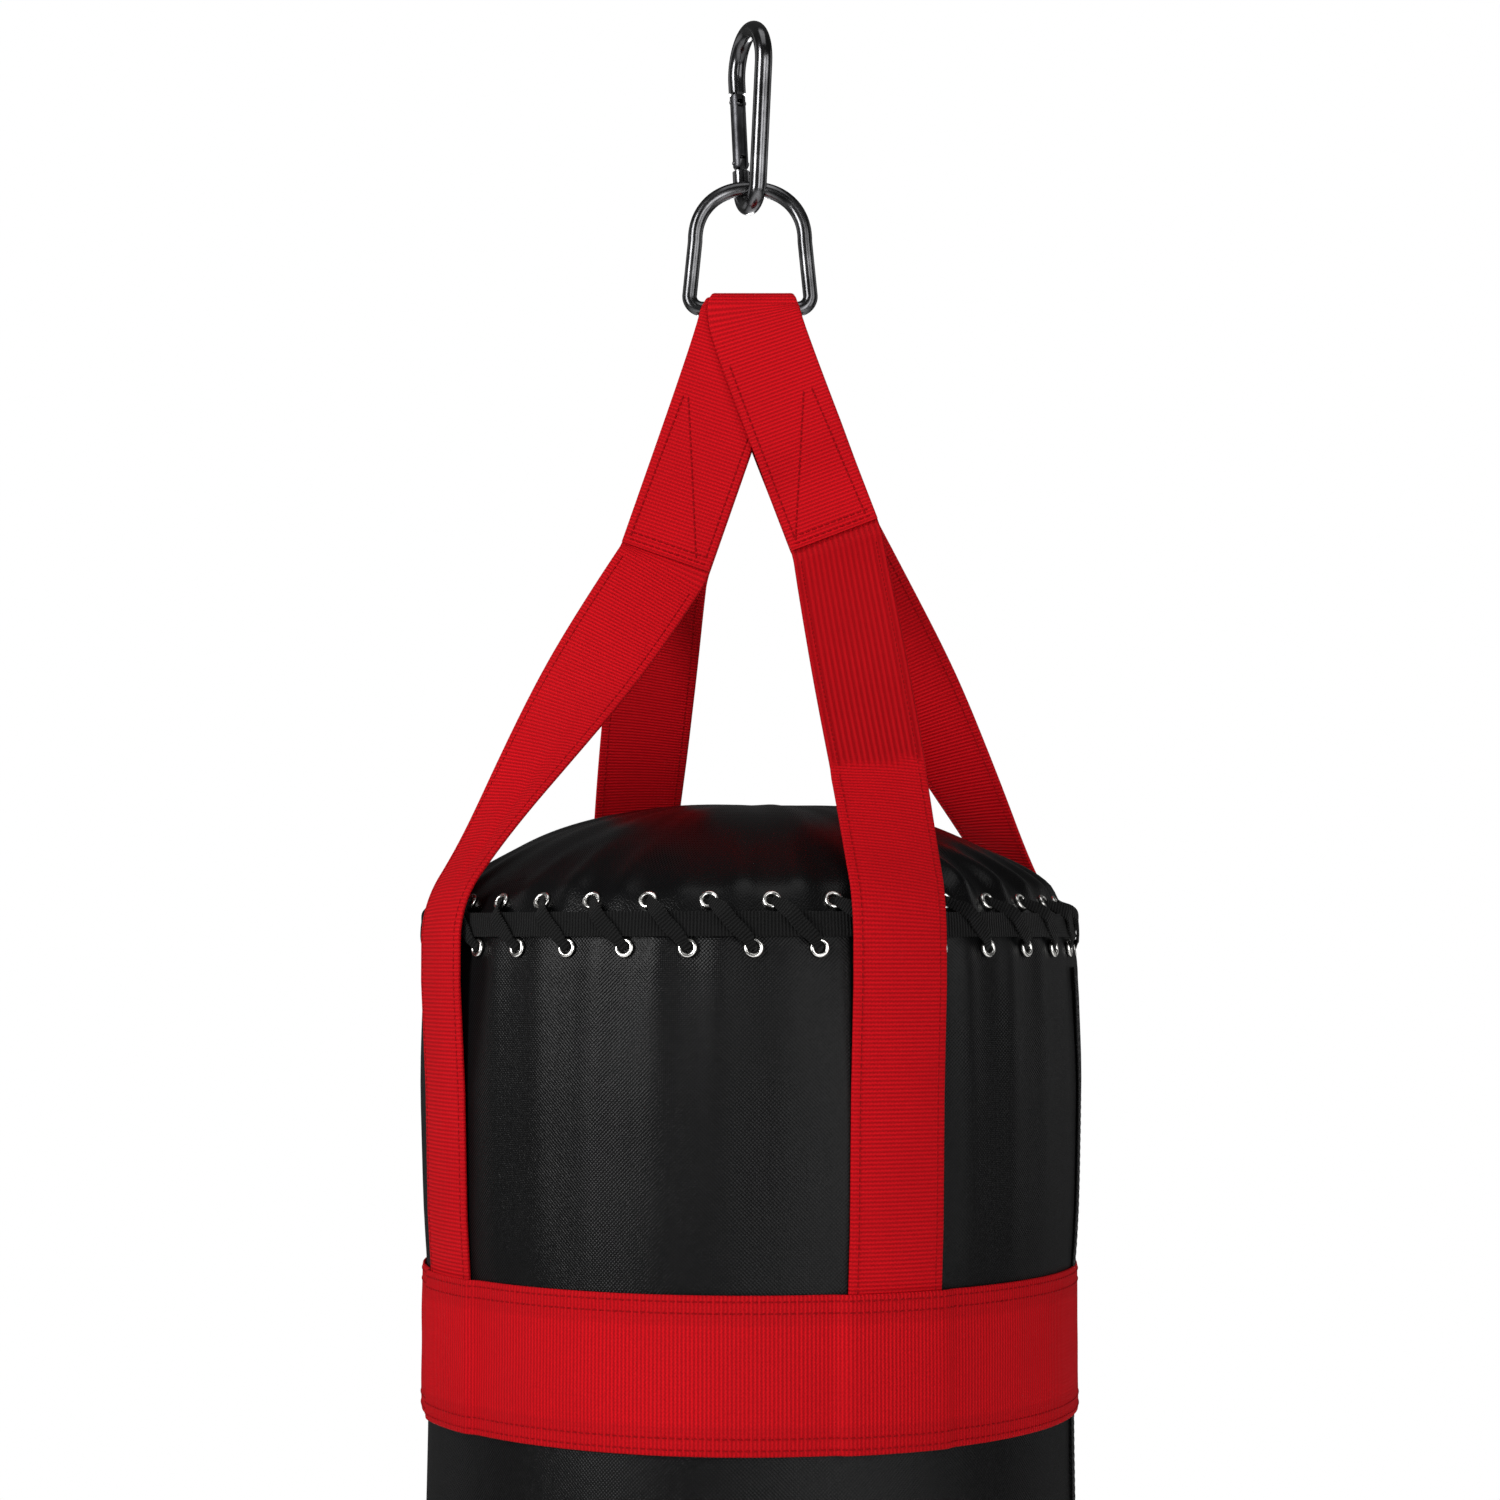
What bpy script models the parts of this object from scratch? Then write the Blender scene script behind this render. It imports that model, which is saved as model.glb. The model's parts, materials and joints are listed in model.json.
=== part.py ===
"""Heavy punching bag: a laced and filled cylinder on four webbing straps, a D-ring and a carabiner.

Units are metres, +Z is up and the front of the bag faces -Y.  The origin is the inside top of the
carabiner, the point that the whole bag hangs from.
"""
import math

import bmesh
import bpy
from mathutils import Matrix, Vector

GAP = 0.0003                     # clearance between pieces that touch

# Carabiner: a pear-shaped loop, wide at the top, in a plane turned from the YZ plane
HOOK_WIRE = 0.0095
HOOK_LENGTH = 0.106
HOOK_TOP_R = 0.0205              # centreline radius of the wide bend
HOOK_EYE_R = 0.01225             # centreline radius of the narrow bend
HOOK_YAW = math.radians(21.0)
HOOK_SIDES = 12
HOOK_BEND_STEPS = 10
GATE_D = 0.0085
GATE_TOP_Z = -0.0258             # where the nose of the frame ends and the gate begins
HINGE_Z = -0.0650
HINGE_SHOULDER = 0.0050          # from the hinge pin to the shoulder of the frame
HINGE_STRAIGHT = 0.0075          # straight run of the bar below the hinge pin
HINGE_TONGUE_UP = 0.0022         # tongue above the hinge pin
HINGE_TONGUE_W = 0.0056
NOSE_TONGUE = 0.0070             # length of the nose tongue inside the gate
TONGUE_T = 0.0030
TONGUE_W = 0.0064
FORK_W = TONGUE_T + 2 * GAP      # slot in each end of the gate
FORK_DEPTH_TOP = 0.0078
FORK_DEPTH_LOW = 0.0068
GATE_END_R = 0.0027
GATE_CHAMFER = 0.0017
GATE_BELOW_PIN = 0.0034
HINGE_PIN_D = 0.0024
LATCH_PIN_D = 0.0022
LATCH_FROM_TOP = 0.0042          # latch pin below the top of the gate
PIN_HEAD = 0.0006                # how far a pin's head stands out of the gate
SPRING_BORE_D = 0.0046
SPRING_BORE_DEPTH = 0.0200
SPRING_WIRE = 0.0005
SPRING_D = 0.0030
SPRING_TURNS = 5
SPRING_STEPS = 8                 # in each turn
SPRING_SIDES = 5
PLUNGER_D = 0.0038
PLUNGER_L = 0.0055
PLUNGER_TIP_R = 0.0012
PLUNGER_CLEAR = 0.0007           # room for the tongue's corner as the gate opens

# D-ring: an arch over a straight bar
RING_WIRE = 0.0080
RING_HEIGHT = 0.0660             # between the centrelines of the crest and the bar
RING_ARCH_W = 0.0298             # half width of the arch
RING_ARCH_H = 0.0290
RING_ARCH_POWER = 2.2
RING_BAR_W = 0.0328              # half width at the bar
RING_CORNER_R = 0.0070
RING_CLEAR = 0.0007              # between the ring and the carabiner's bend, so that it can rock
RING_SIDES = 12
RING_ARCH_STEPS = 16
RING_CORNER_STEPS = 5

# Webbing
LOOP_W = 0.050
LOOP_W_AT_BAR = 0.047
LOOP_T = 0.0019
STRAP_W = 0.050
STRAP_T = 0.0020
RIBBON_COLUMNS = 3
STRAP_HALF_GAP = 0.0014          # middle of a sandwiched strap from the XZ plane
LEG_AT_SEAM = 0.00385            # middle of a loop's leg from the XZ plane at the seam
LOOP_SHIFT_AT_BAR = 0.0015
LEG_STEPS = 10
LEG_LEAN = 0.08                  # share of the leg's drop in which it starts to lean out
TILT_SHARE = 0.45                # share of the leg's drop over which it tilts
WRAP_STEPS = 8
SEAM_X = 0.0455
SEAM_Z_RIGHT = -0.272
SEAM_Z_LEFT = -0.284
SEAM_TILT = math.radians(23.0)
LOOPS_PART_Z = -0.217            # below this the two loops no longer cross
LEG_CLOSE_Z_LEFT = -0.232        # where the two legs of a loop reach the straps between them
LEG_CLOSE_Z_RIGHT = -0.245
STRAP_HIDDEN = 0.004             # from there down to the top end of the straps
STRAP_AZIMUTHS = {               # from the front, positive towards +X
    "front_right_strap": math.radians(24.0),
    "back_right_strap": math.radians(118.0),
    "back_left_strap": math.radians(204.0),
    "front_left_strap": math.radians(-62.0),
}
SHOULDER_Z = -0.472
SHOULDER_R = 0.1797
SHOULDER_BEND = 0.080
SEAM_BEND = 0.020
SHOULDER_FREE_Z = -0.512         # end of the strap's straight run past the lacing
STRAP_LANDS_Z = -0.560           # the strap lies on the skin below this
STRAP_LIFT = 0.00045
SEAM_RUN_ON = 0.004              # straight run of a strap past its seam
STRAP_END_Z = -0.728
STRAP_STEP = 0.040               # between sections of a strap
BEND_SHARE = 0.48                # most of a run's length that a bend may take
BEND_STEPS = 4
CURVING_POWER = 3                # how late a strap takes the bag's curve across its width
BELT_TOP_Z = -0.6595
BELT_LOW_Z = -0.7355
BELT_INNER_R = 0.1749
BELT_T = 0.0018

# Bag: radii down the outside of the skin
SKIN_PROFILE = [
    (0.1705, -0.4832), (0.1740, -0.5060), (0.1754, -0.5650), (0.1738, -0.6300), (0.1712, -0.6700),
    (0.1708, -0.7450), (0.1735, -1.0000), (0.1735, -1.5000), (0.1715, -1.6770),
]
SKIN_T = 0.0015
SKIN_INNER_R = 0.1690            # inside of the skin below the shoulder
SKIN_INNER_Z = -0.6600
BAG_STEPS = 68                   # two steps between two eyelets
INNER_STEPS = 34
BASE_Z = -1.680
DISC_T = 0.0025
BINDING_H = 0.022
BINDING_T = 0.0015
LINER_OUTER_R = 0.1685
LINER_T = 0.0200
LINER_TOP_Z = -0.5050
PAD_R = LINER_OUTER_R - LINER_T - GAP
PAD_LOW_Z = BASE_Z + DISC_T + 0.0010
PAD_T = 0.030
PAD_DROP = 0.0015                # from the inside of the cap to the top pad
FILLING_TOP_Z = -0.5360
SEAM_STRIP_AZIMUTH = math.radians(77.0)
SEAM_STRIP_W = 0.008
SEAM_STRIP_T = 0.0010
SEAM_STRIP_TOP_Z = -0.5045
SEAM_STRIP_LOW_Z = -1.6500

# Cap and lacing
CAP_CREST_Z = -0.418
CAP_DOME_R = 0.160
CAP_DOME_Z = -0.4635
CAP_POWER = 2.6
CAP_EDGE_R = 0.1700
CAP_EDGE_Z = -0.4825
CAP_T = 0.0015
CAP_RINGS = 4
TAPE_TOP = (0.1706, -0.4770)
TAPE_LOW = (0.1718, -0.4890)
TAPE_T = 0.0013
EYELETS = 34
EYELET_SIDES = 6
EYELET_R = 0.0048
EYELET_BORE_R = 0.0027
EYELET_PROUD = 0.0010
UPPER_ROW_Z = -0.4715
LOWER_ROW_Z = -0.4945
LOWER_ROW_START = math.radians(0.6)
ROW_OFFSET = math.radians(-7.5)  # an upper eyelet from its lower partner
BAND_T = 0.0012
BAND_HALF_H = 0.0066
LACE_D = 0.0022
LACE_SIDES = 5
LACE_BEHIND = 0.0015             # from the strip to the lace inside
LACE_OVER_TAPE = ((0.35, 0.0022), (0.85, 0.0019))


# ---------------------------------------------------------------- making solids
def clear_scene():
    for obj in list(bpy.data.objects):
        bpy.data.objects.remove(obj, do_unlink=True)


def material(name, colour, roughness, metallic=0.0):
    mat = bpy.data.materials.new(name)
    mat.use_nodes = True
    shader = mat.node_tree.nodes["Principled BSDF"]
    shader.inputs["Base Color"].default_value = (*colour, 1.0)
    shader.inputs["Roughness"].default_value = roughness
    shader.inputs["Metallic"].default_value = metallic
    return mat


def make_object(name, bm, mat, parent=None, smooth=True):
    """Turn a bmesh into a named object with its own material, origin on its parent's axis."""
    bmesh.ops.recalc_face_normals(bm, faces=bm.faces)
    if parent is not None:
        bmesh.ops.transform(bm, matrix=parent.matrix_world.inverted(), verts=bm.verts)
    mesh = bpy.data.meshes.new(name)
    bm.to_mesh(mesh)
    bm.free()
    mesh.materials.append(mat)
    if smooth:
        mesh.shade_smooth()
        mesh.set_sharp_from_angle(angle=math.radians(35.0))
    obj = bpy.data.objects.new(name, mesh)
    bpy.context.scene.collection.objects.link(obj)
    obj.parent = parent
    return obj


def pivot(name, place):
    empty = bpy.data.objects.new(name, None)
    empty.location = place
    bpy.context.scene.collection.objects.link(empty)
    bpy.context.view_layer.update()
    return empty


def skin_loops(bm, loops, closed_path):
    """Bridge rings of vertices one after the other; cap the ends of an open path."""
    rings = [[bm.verts.new(point) for point in loop] for loop in loops]
    count = len(rings[0])
    spans = list(zip(rings, rings[1:]))
    if closed_path:
        spans.append((rings[-1], rings[0]))
    for first, second in spans:
        for index in range(count):
            after = (index + 1) % count
            bm.faces.new((first[index], first[after], second[after], second[index]))
    if not closed_path:
        bm.faces.new(rings[0][::-1])
        bm.faces.new(rings[-1])


def turned(profile, steps=BAG_STEPS, start=0.0):
    """Turn a closed (r, z) outline round the Z axis; points at r = 0 become poles."""
    bm = bmesh.new()
    columns = []
    poles = {index: bm.verts.new((0.0, 0.0, z)) for index, (r, z) in enumerate(profile) if r == 0.0}
    for step in range(steps):
        angle = start + step * math.tau / steps
        column = []
        for index, (r, z) in enumerate(profile):
            if index in poles:
                column.append(poles[index])
            else:
                column.append(bm.verts.new((r * math.sin(angle), -r * math.cos(angle), z)))
        columns.append(column)
    for step in range(steps):
        here, there = columns[step], columns[(step + 1) % steps]
        for index in range(len(profile)):
            after = (index + 1) % len(profile)
            corners = []
            for vert in (here[index], here[after], there[after], there[index]):
                if vert not in corners:
                    corners.append(vert)
            if len(corners) > 2:
                bm.faces.new(corners)
    return bm


def swept(points, radius, sides, closed, side_dir):
    """Sweep a round section along a planar path; side_dir is the normal of the path's plane."""
    bm = bmesh.new()
    loops = []
    count = len(points)
    for index, point in enumerate(points):
        before = points[index - 1] if closed or index else point
        after = points[(index + 1) % count] if closed or index < count - 1 else point
        tangent = (after - before).normalized()
        across = side_dir.cross(tangent).normalized()
        loop = []
        for side in range(sides):
            angle = (side + 0.5) * math.tau / sides
            loop.append(point + radius * (math.cos(angle) * side_dir + math.sin(angle) * across))
        loops.append(loop)
    skin_loops(bm, loops, closed)
    return bm


def ribbon(points, widths, width_dirs, thickness, curves=None):
    """Sweep a flat section along a path; curves gives 1 / radius of the section at each point."""
    bm = bmesh.new()
    loops = []
    columns = RIBBON_COLUMNS if curves else 1
    for index, point in enumerate(points):
        before = points[max(index - 1, 0)]
        after = points[min(index + 1, len(points) - 1)]
        tangent = (after - before).normalized()
        across = width_dirs[index].normalized()
        normal = tangent.cross(across).normalized()
        curve = curves[index] if curves else 0.0
        under, over = [], []
        for column in range(columns + 1):
            reach = widths[index] * (column / columns - 0.5)
            middle = point + across * reach - normal * curve * reach * reach / 2
            under.append(middle - normal * thickness / 2)
            over.append(middle + normal * thickness / 2)
        loops.append(under + over[::-1])
    skin_loops(bm, loops, closed_path=False)
    return bm


def prism(centre, axis, radius, low, high, sides):
    """Round bar between two distances along an axis through a centre."""
    bm = bmesh.new()
    axis = axis.normalized()
    up = Vector((0.0, 0.0, 1.0))
    first = axis.cross(up)
    if first.length < 0.1:
        first = axis.cross(Vector((0.0, 1.0, 0.0)))
    first.normalize()
    second = axis.cross(first)
    loops = []
    for height in (low, high):
        loop = []
        for side in range(sides):
            angle = side * math.tau / sides
            around = math.cos(angle) * first + math.sin(angle) * second
            loop.append(centre + axis * height + radius * around)
        loops.append(loop)
    skin_loops(bm, loops, closed_path=False)
    return bm


def joined(parts):
    """Put several meshes into one."""
    bm = bmesh.new()
    for part in parts:
        mesh = bpy.data.meshes.new("part")
        bmesh.ops.recalc_face_normals(part, faces=part.faces)
        part.to_mesh(mesh)
        part.free()
        bm.from_mesh(mesh)
        bpy.data.meshes.remove(mesh)
    return bm


def combined(first, second, operation):
    """Boolean of two meshes, with the exact solver."""
    objects = []
    for bm in (first, second):
        bmesh.ops.recalc_face_normals(bm, faces=bm.faces)
        mesh = bpy.data.meshes.new("operand")
        bm.to_mesh(mesh)
        bm.free()
        obj = bpy.data.objects.new("operand", mesh)
        bpy.context.scene.collection.objects.link(obj)
        objects.append(obj)
    target, tool = objects
    modifier = target.modifiers.new("boolean", "BOOLEAN")
    modifier.operation = operation
    modifier.solver = "EXACT"
    modifier.object = tool
    bpy.context.view_layer.update()
    evaluated = target.evaluated_get(bpy.context.evaluated_depsgraph_get())
    result = bmesh.new()
    result.from_mesh(evaluated.to_mesh())
    evaluated.to_mesh_clear()
    for obj in objects:
        mesh = obj.data
        bpy.data.objects.remove(obj, do_unlink=True)
        bpy.data.meshes.remove(mesh)
    return result


def arc(centre, first, second, radius, start, end, steps):
    """Points on an arc in the plane of two unit vectors, ends included."""
    points = []
    for step in range(steps + 1):
        angle = start + (end - start) * step / steps
        points.append(centre + radius * (math.cos(angle) * first + math.sin(angle) * second))
    return points


def rounded(corners, radii, steps=BEND_STEPS):
    """Replace each inner corner of a path by an arc of the given radius."""
    path = [corners[0]]
    for before, here, after, radius in zip(corners, corners[1:], corners[2:], radii):
        to_before = (before - here).normalized()
        to_after = (after - here).normalized()
        half = to_before.angle(to_after) / 2
        reach = min(radius / math.tan(half), (before - here).length * BEND_SHARE,
                    (after - here).length * BEND_SHARE)
        start = here + to_before * reach
        end = here + to_after * reach
        for step in range(steps + 1):
            t = step / steps
            path.append(start * (1 - t) ** 2 + here * 2 * t * (1 - t) + end * t ** 2)
    path.append(corners[-1])
    return path


def divided(path, step):
    """Add points on the long runs of a path."""
    finer = []
    for before, after in zip(path, path[1:]):
        pieces = max(1, round((after - before).length / step))
        finer += [before.lerp(after, piece / pieces) for piece in range(pieces)]
    finer.append(path[-1])
    return finer


def smoothstep(value):
    value = min(max(value, 0.0), 1.0)
    return value * value * (3 - 2 * value)


def radial(azimuth):
    return Vector((math.sin(azimuth), -math.cos(azimuth), 0.0))


# ---------------------------------------------------------------- carabiner
HOOK_TOP_C = HOOK_WIRE / 2 - HOOK_TOP_R                        # heights of the two bends' centres
HOOK_EYE_C = HOOK_WIRE * 1.5 - HOOK_LENGTH + HOOK_EYE_R
HOOK_TAPER = math.asin((HOOK_TOP_R - HOOK_EYE_R) / (HOOK_TOP_C - HOOK_EYE_C))
SPINE_SIDE = Vector((math.sin(HOOK_YAW), -math.cos(HOOK_YAW), 0.0))
UP = Vector((0.0, 0.0, 1.0))
HOOK_NORMAL = SPINE_SIDE.cross(UP)
GATE_DIR = (UP - SPINE_SIDE * math.tan(HOOK_TAPER)).normalized()  # up along the gate
GATE_SIDE = HOOK_NORMAL.cross(GATE_DIR).normalized()              # across the gate, in the plane


def gate_line(height):
    """Point on the gate side's centreline at a height."""
    tangent_z = HOOK_TOP_C - HOOK_TOP_R * math.sin(HOOK_TAPER)
    reach = HOOK_TOP_R * math.cos(HOOK_TAPER) - (tangent_z - height) * math.tan(HOOK_TAPER)
    return -SPINE_SIDE * reach + UP * height


HINGE = gate_line(HINGE_Z)
GATE_TOP = gate_line(GATE_TOP_Z)


def tongue_cutter(base, along, length, hole_w, hole_t):
    """Square sleeve that leaves a flat tongue in the middle of the round stock."""
    outer = HOOK_WIRE
    loops = []
    for half_w, half_t, reach in (
        (outer, outer, 0.0), (outer, outer, length), (hole_w / 2, hole_t / 2, length),
        (hole_w / 2, hole_t / 2, 0.0),
    ):
        loop = []
        for sign_w, sign_t in ((-1, -1), (1, -1), (1, 1), (-1, 1)):
            loop.append(base + along * reach + GATE_SIDE * half_w * sign_w + HOOK_NORMAL * half_t * sign_t)
        loops.append(loop)
    bm = bmesh.new()
    skin_loops(bm, loops, closed_path=True)
    return bm


def slab(centre, size_side, size_normal, low, high):
    """Box round a centre, square to the gate."""
    bm = bmesh.new()
    loops = []
    for height in (low, high):
        loop = []
        for sign_w, sign_t in ((-1, -1), (1, -1), (1, 1), (-1, 1)):
            loop.append(centre + GATE_DIR * height + GATE_SIDE * size_side / 2 * sign_w
                        + HOOK_NORMAL * size_normal / 2 * sign_t)
        loops.append(loop)
    skin_loops(bm, loops, closed_path=False)
    return bm


def build_carabiner(steel, dark_steel, hinge_pivot):
    steps = HOOK_BEND_STEPS
    low = HINGE + GATE_DIR * HINGE_TONGUE_UP
    high = GATE_TOP - GATE_DIR * (NOSE_TONGUE - GAP)
    path = [low, HINGE - GATE_DIR * HINGE_STRAIGHT]
    path += arc(UP * HOOK_EYE_C, -SPINE_SIDE, -UP, HOOK_EYE_R, HOOK_TAPER, math.pi - HOOK_TAPER, steps)
    path += arc(UP * HOOK_TOP_C, SPINE_SIDE, UP, HOOK_TOP_R, -HOOK_TAPER, math.pi + HOOK_TAPER, steps)
    path += [GATE_TOP + GATE_DIR * 2 * GAP, high]
    frame = swept(path, HOOK_WIRE / 2, HOOK_SIDES, False, HOOK_NORMAL)
    shoulder = HINGE - GATE_DIR * HINGE_SHOULDER
    cheeks = tongue_cutter(shoulder, GATE_DIR, HOOK_WIRE * 2, HINGE_TONGUE_W, TONGUE_T)
    frame = combined(frame, cheeks, "DIFFERENCE")
    nose = GATE_TOP + GATE_DIR * 2 * GAP
    cheeks = tongue_cutter(nose, -GATE_DIR, HOOK_WIRE * 2, TONGUE_W, TONGUE_T)
    frame = combined(frame, cheeks, "DIFFERENCE")
    hole = prism(HINGE, HOOK_NORMAL, HINGE_PIN_D / 2 + GAP, -HOOK_WIRE, HOOK_WIRE, HOOK_SIDES)
    frame = combined(frame, hole, "DIFFERENCE")
    latch = GATE_TOP - GATE_DIR * LATCH_FROM_TOP
    notch_half = LATCH_PIN_D / 2 + GAP
    notch = slab(latch, TONGUE_W + 2 * notch_half, HOOK_WIRE, -notch_half, notch_half)
    toward_inside = SPINE_SIDE.dot(GATE_SIDE)
    shift = math.copysign(TONGUE_W / 2, toward_inside)
    bmesh.ops.translate(notch, vec=GATE_SIDE * shift, verts=notch.verts)
    frame = combined(frame, notch, "DIFFERENCE")
    make_object("carabiner_frame", frame, steel)

    gate_length = (GATE_TOP - HINGE).length
    radius = GATE_D / 2
    outline = [
        (0.0, -GATE_BELOW_PIN), (GATE_END_R, -GATE_BELOW_PIN), (radius, -GATE_BELOW_PIN + GATE_CHAMFER),
        (radius, gate_length - GAP), (0.0, gate_length - GAP),
    ]
    gate = turned(outline[::-1], steps=HOOK_SIDES + 2)
    to_gate = Matrix((
        (GATE_SIDE.x, HOOK_NORMAL.x, GATE_DIR.x, HINGE.x),
        (GATE_SIDE.y, HOOK_NORMAL.y, GATE_DIR.y, HINGE.y),
        (GATE_SIDE.z, HOOK_NORMAL.z, GATE_DIR.z, HINGE.z),
        (0.0, 0.0, 0.0, 1.0),
    ))
    bmesh.ops.transform(gate, matrix=to_gate, verts=gate.verts)
    reach = HOOK_WIRE * 2
    fork_top = FORK_DEPTH_LOW - GATE_BELOW_PIN
    gate = combined(gate, slab(HINGE, reach, FORK_W, -reach, fork_top), "DIFFERENCE")
    gate = combined(gate, slab(GATE_TOP, reach, FORK_W, -FORK_DEPTH_TOP, reach), "DIFFERENCE")
    bore_low = fork_top - PIN_HEAD
    bore = prism(HINGE, GATE_DIR, SPRING_BORE_D / 2, bore_low, fork_top + SPRING_BORE_DEPTH, HOOK_SIDES)
    gate = combined(gate, bore, "DIFFERENCE")
    for centre, diameter in ((HINGE, HINGE_PIN_D), (latch, LATCH_PIN_D)):
        hole = prism(centre, HOOK_NORMAL, diameter / 2 + GAP, -reach, reach, HOOK_SIDES)
        gate = combined(gate, hole, "DIFFERENCE")
    make_object("carabiner_gate", gate, dark_steel, hinge_pivot)

    half = GATE_D / 2 + PIN_HEAD
    pin = prism(HINGE, HOOK_NORMAL, HINGE_PIN_D / 2, -half, half, HOOK_SIDES)
    make_object("gate_hinge_pin", pin, steel)
    pin = prism(latch, HOOK_NORMAL, LATCH_PIN_D / 2, -half, half, HOOK_SIDES)
    make_object("gate_latch_pin", pin, steel, hinge_pivot)

    plunger_low = HINGE_TONGUE_UP + PLUNGER_CLEAR
    spring_low = plunger_low + PLUNGER_L + SPRING_WIRE / 2 + GAP
    spring_high = fork_top + SPRING_BORE_DEPTH - SPRING_WIRE / 2 - GAP
    outline = [
        (0.0, PLUNGER_L), (PLUNGER_D / 2, PLUNGER_L), (PLUNGER_D / 2, PLUNGER_TIP_R),
        (PLUNGER_D / 2 - PLUNGER_TIP_R, 0.0), (0.0, 0.0),
    ]
    plunger = turned([(r, z + plunger_low) for r, z in outline], steps=HOOK_SIDES)
    bmesh.ops.transform(plunger, matrix=to_gate, verts=plunger.verts)
    make_object("gate_plunger", plunger, steel, hinge_pivot)

    spring_steps = SPRING_TURNS * SPRING_STEPS
    coil = []
    for step in range(spring_steps + 1):
        angle = step * math.tau / SPRING_STEPS
        rise = spring_low + (spring_high - spring_low) * step / spring_steps
        coil.append(HINGE + GATE_DIR * rise
                    + SPRING_D / 2 * (math.cos(angle) * GATE_SIDE + math.sin(angle) * HOOK_NORMAL))
    spring = coil_tube(coil, SPRING_WIRE / 2, SPRING_SIDES, GATE_DIR)
    make_object("gate_spring", spring, steel, hinge_pivot)


def coil_tube(points, radius, sides, up):
    """Round tube along a curved path that is nowhere parallel to up."""
    bm = bmesh.new()
    loops = []
    for index, point in enumerate(points):
        before = points[max(index - 1, 0)]
        after = points[min(index + 1, len(points) - 1)]
        tangent = (after - before).normalized()
        across = up.cross(tangent).normalized()
        over = tangent.cross(across)
        loop = []
        for side in range(sides):
            angle = side * math.tau / sides
            loop.append(point + radius * (math.cos(angle) * across + math.sin(angle) * over))
        loops.append(loop)
    skin_loops(bm, loops, closed_path=False)
    return bm


# ---------------------------------------------------------------- D-ring
EYE_FLOOR_Z = HOOK_WIRE - HOOK_LENGTH + HOOK_WIRE
RING_TOP_Z = EYE_FLOOR_Z + RING_CLEAR + RING_WIRE / 2
BAR_Z = RING_TOP_Z - RING_HEIGHT


def ring_path():
    """Centreline of the D-ring: a superelliptic arch, splayed legs and a straight bar."""
    right = Vector((1.0, 0.0, 0.0))
    arch_base = RING_TOP_Z - RING_ARCH_H
    arch = []
    for step in range(RING_ARCH_STEPS + 1):
        angle = math.pi * step / RING_ARCH_STEPS
        cosine, sine = math.cos(angle), math.sin(angle)
        x = math.copysign(abs(cosine) ** (2 / RING_ARCH_POWER), cosine) * RING_ARCH_W
        z = abs(sine) ** (2 / RING_ARCH_POWER) * RING_ARCH_H
        arch.append(Vector((x, 0.0, arch_base + z)))
    corner_z = BAR_Z + RING_CORNER_R
    low_left = arc(Vector((RING_CORNER_R - RING_BAR_W, 0.0, corner_z)), -right, -UP, RING_CORNER_R,
                   0.0, math.pi / 2, RING_CORNER_STEPS)
    low_right = arc(Vector((RING_BAR_W - RING_CORNER_R, 0.0, corner_z)), -UP, right, RING_CORNER_R,
                    0.0, math.pi / 2, RING_CORNER_STEPS)
    return arch + low_left + low_right


def build_ring(steel, ring_pivot):
    ring = swept(ring_path(), RING_WIRE / 2, RING_SIDES, True, Vector((0.0, 1.0, 0.0)))
    make_object("d_ring", ring, steel, ring_pivot)


# ---------------------------------------------------------------- webbing
def leg_x(side, drop):
    """Sideways place of a loop's leg; drop goes from 0 at the bar to 1 at the seam."""
    lean = drop * drop / (drop + LEG_LEAN) * (1 + LEG_LEAN)
    return side * (LOOP_SHIFT_AT_BAR + (SEAM_X - LOOP_SHIFT_AT_BAR) * lean)


def loop_frame(side, seam_z, open_z, close_z, wrap_r, z, front):
    """Point and width direction of a loop's leg at a height."""
    drop = (BAR_Z - z) / (BAR_Z - seam_z)
    closing = smoothstep((open_z - z) / (open_z - close_z))
    y = wrap_r + (LEG_AT_SEAM - wrap_r) * closing
    tilt = SEAM_TILT * side * smoothstep(drop / TILT_SHARE)
    point = Vector((leg_x(side, drop), -y if front else y, z))
    return point, Vector((math.cos(tilt), 0.0, math.sin(tilt)))


def build_loop(name, mat, bag_pivot, side, seam_z, open_z, close_z, wrap_r):
    """One piece of webbing folded over the bar, with a front and a back leg."""
    points, dirs, widths = [], [], []
    steps = LEG_STEPS
    heights = [seam_z + (BAR_Z - seam_z) * step / steps for step in range(steps)]
    for z in heights:
        point, across = loop_frame(side, seam_z, open_z, close_z, wrap_r, z, front=True)
        points.append(point)
        dirs.append(across)
        widths.append(LOOP_W)
    widths[-1] = (LOOP_W + LOOP_W_AT_BAR) / 2
    centre = Vector((side * LOOP_SHIFT_AT_BAR, 0.0, BAR_Z))
    for point in arc(centre, Vector((0.0, -1.0, 0.0)), UP, wrap_r, 0.0, math.pi, WRAP_STEPS):
        points.append(point)
        dirs.append(Vector((1.0, 0.0, 0.0)))
        widths.append(LOOP_W_AT_BAR)
    for z in heights[::-1]:
        point, across = loop_frame(side, seam_z, open_z, close_z, wrap_r, z, front=False)
        points.append(point)
        dirs.append(across)
        widths.append(LOOP_W)
    widths[-len(heights)] = (LOOP_W + LOOP_W_AT_BAR) / 2
    make_object(name, ribbon(points, widths, dirs, LOOP_T), mat, bag_pivot)


def skin_radius(z):
    """Outer radius of the skin at a height."""
    for (r0, z0), (r1, z1) in zip(SKIN_PROFILE, SKIN_PROFILE[1:]):
        if z0 >= z >= z1:
            return r0 + (r1 - r0) * (z0 - z) / (z0 - z1)
    return SKIN_PROFILE[0][0]


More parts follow.
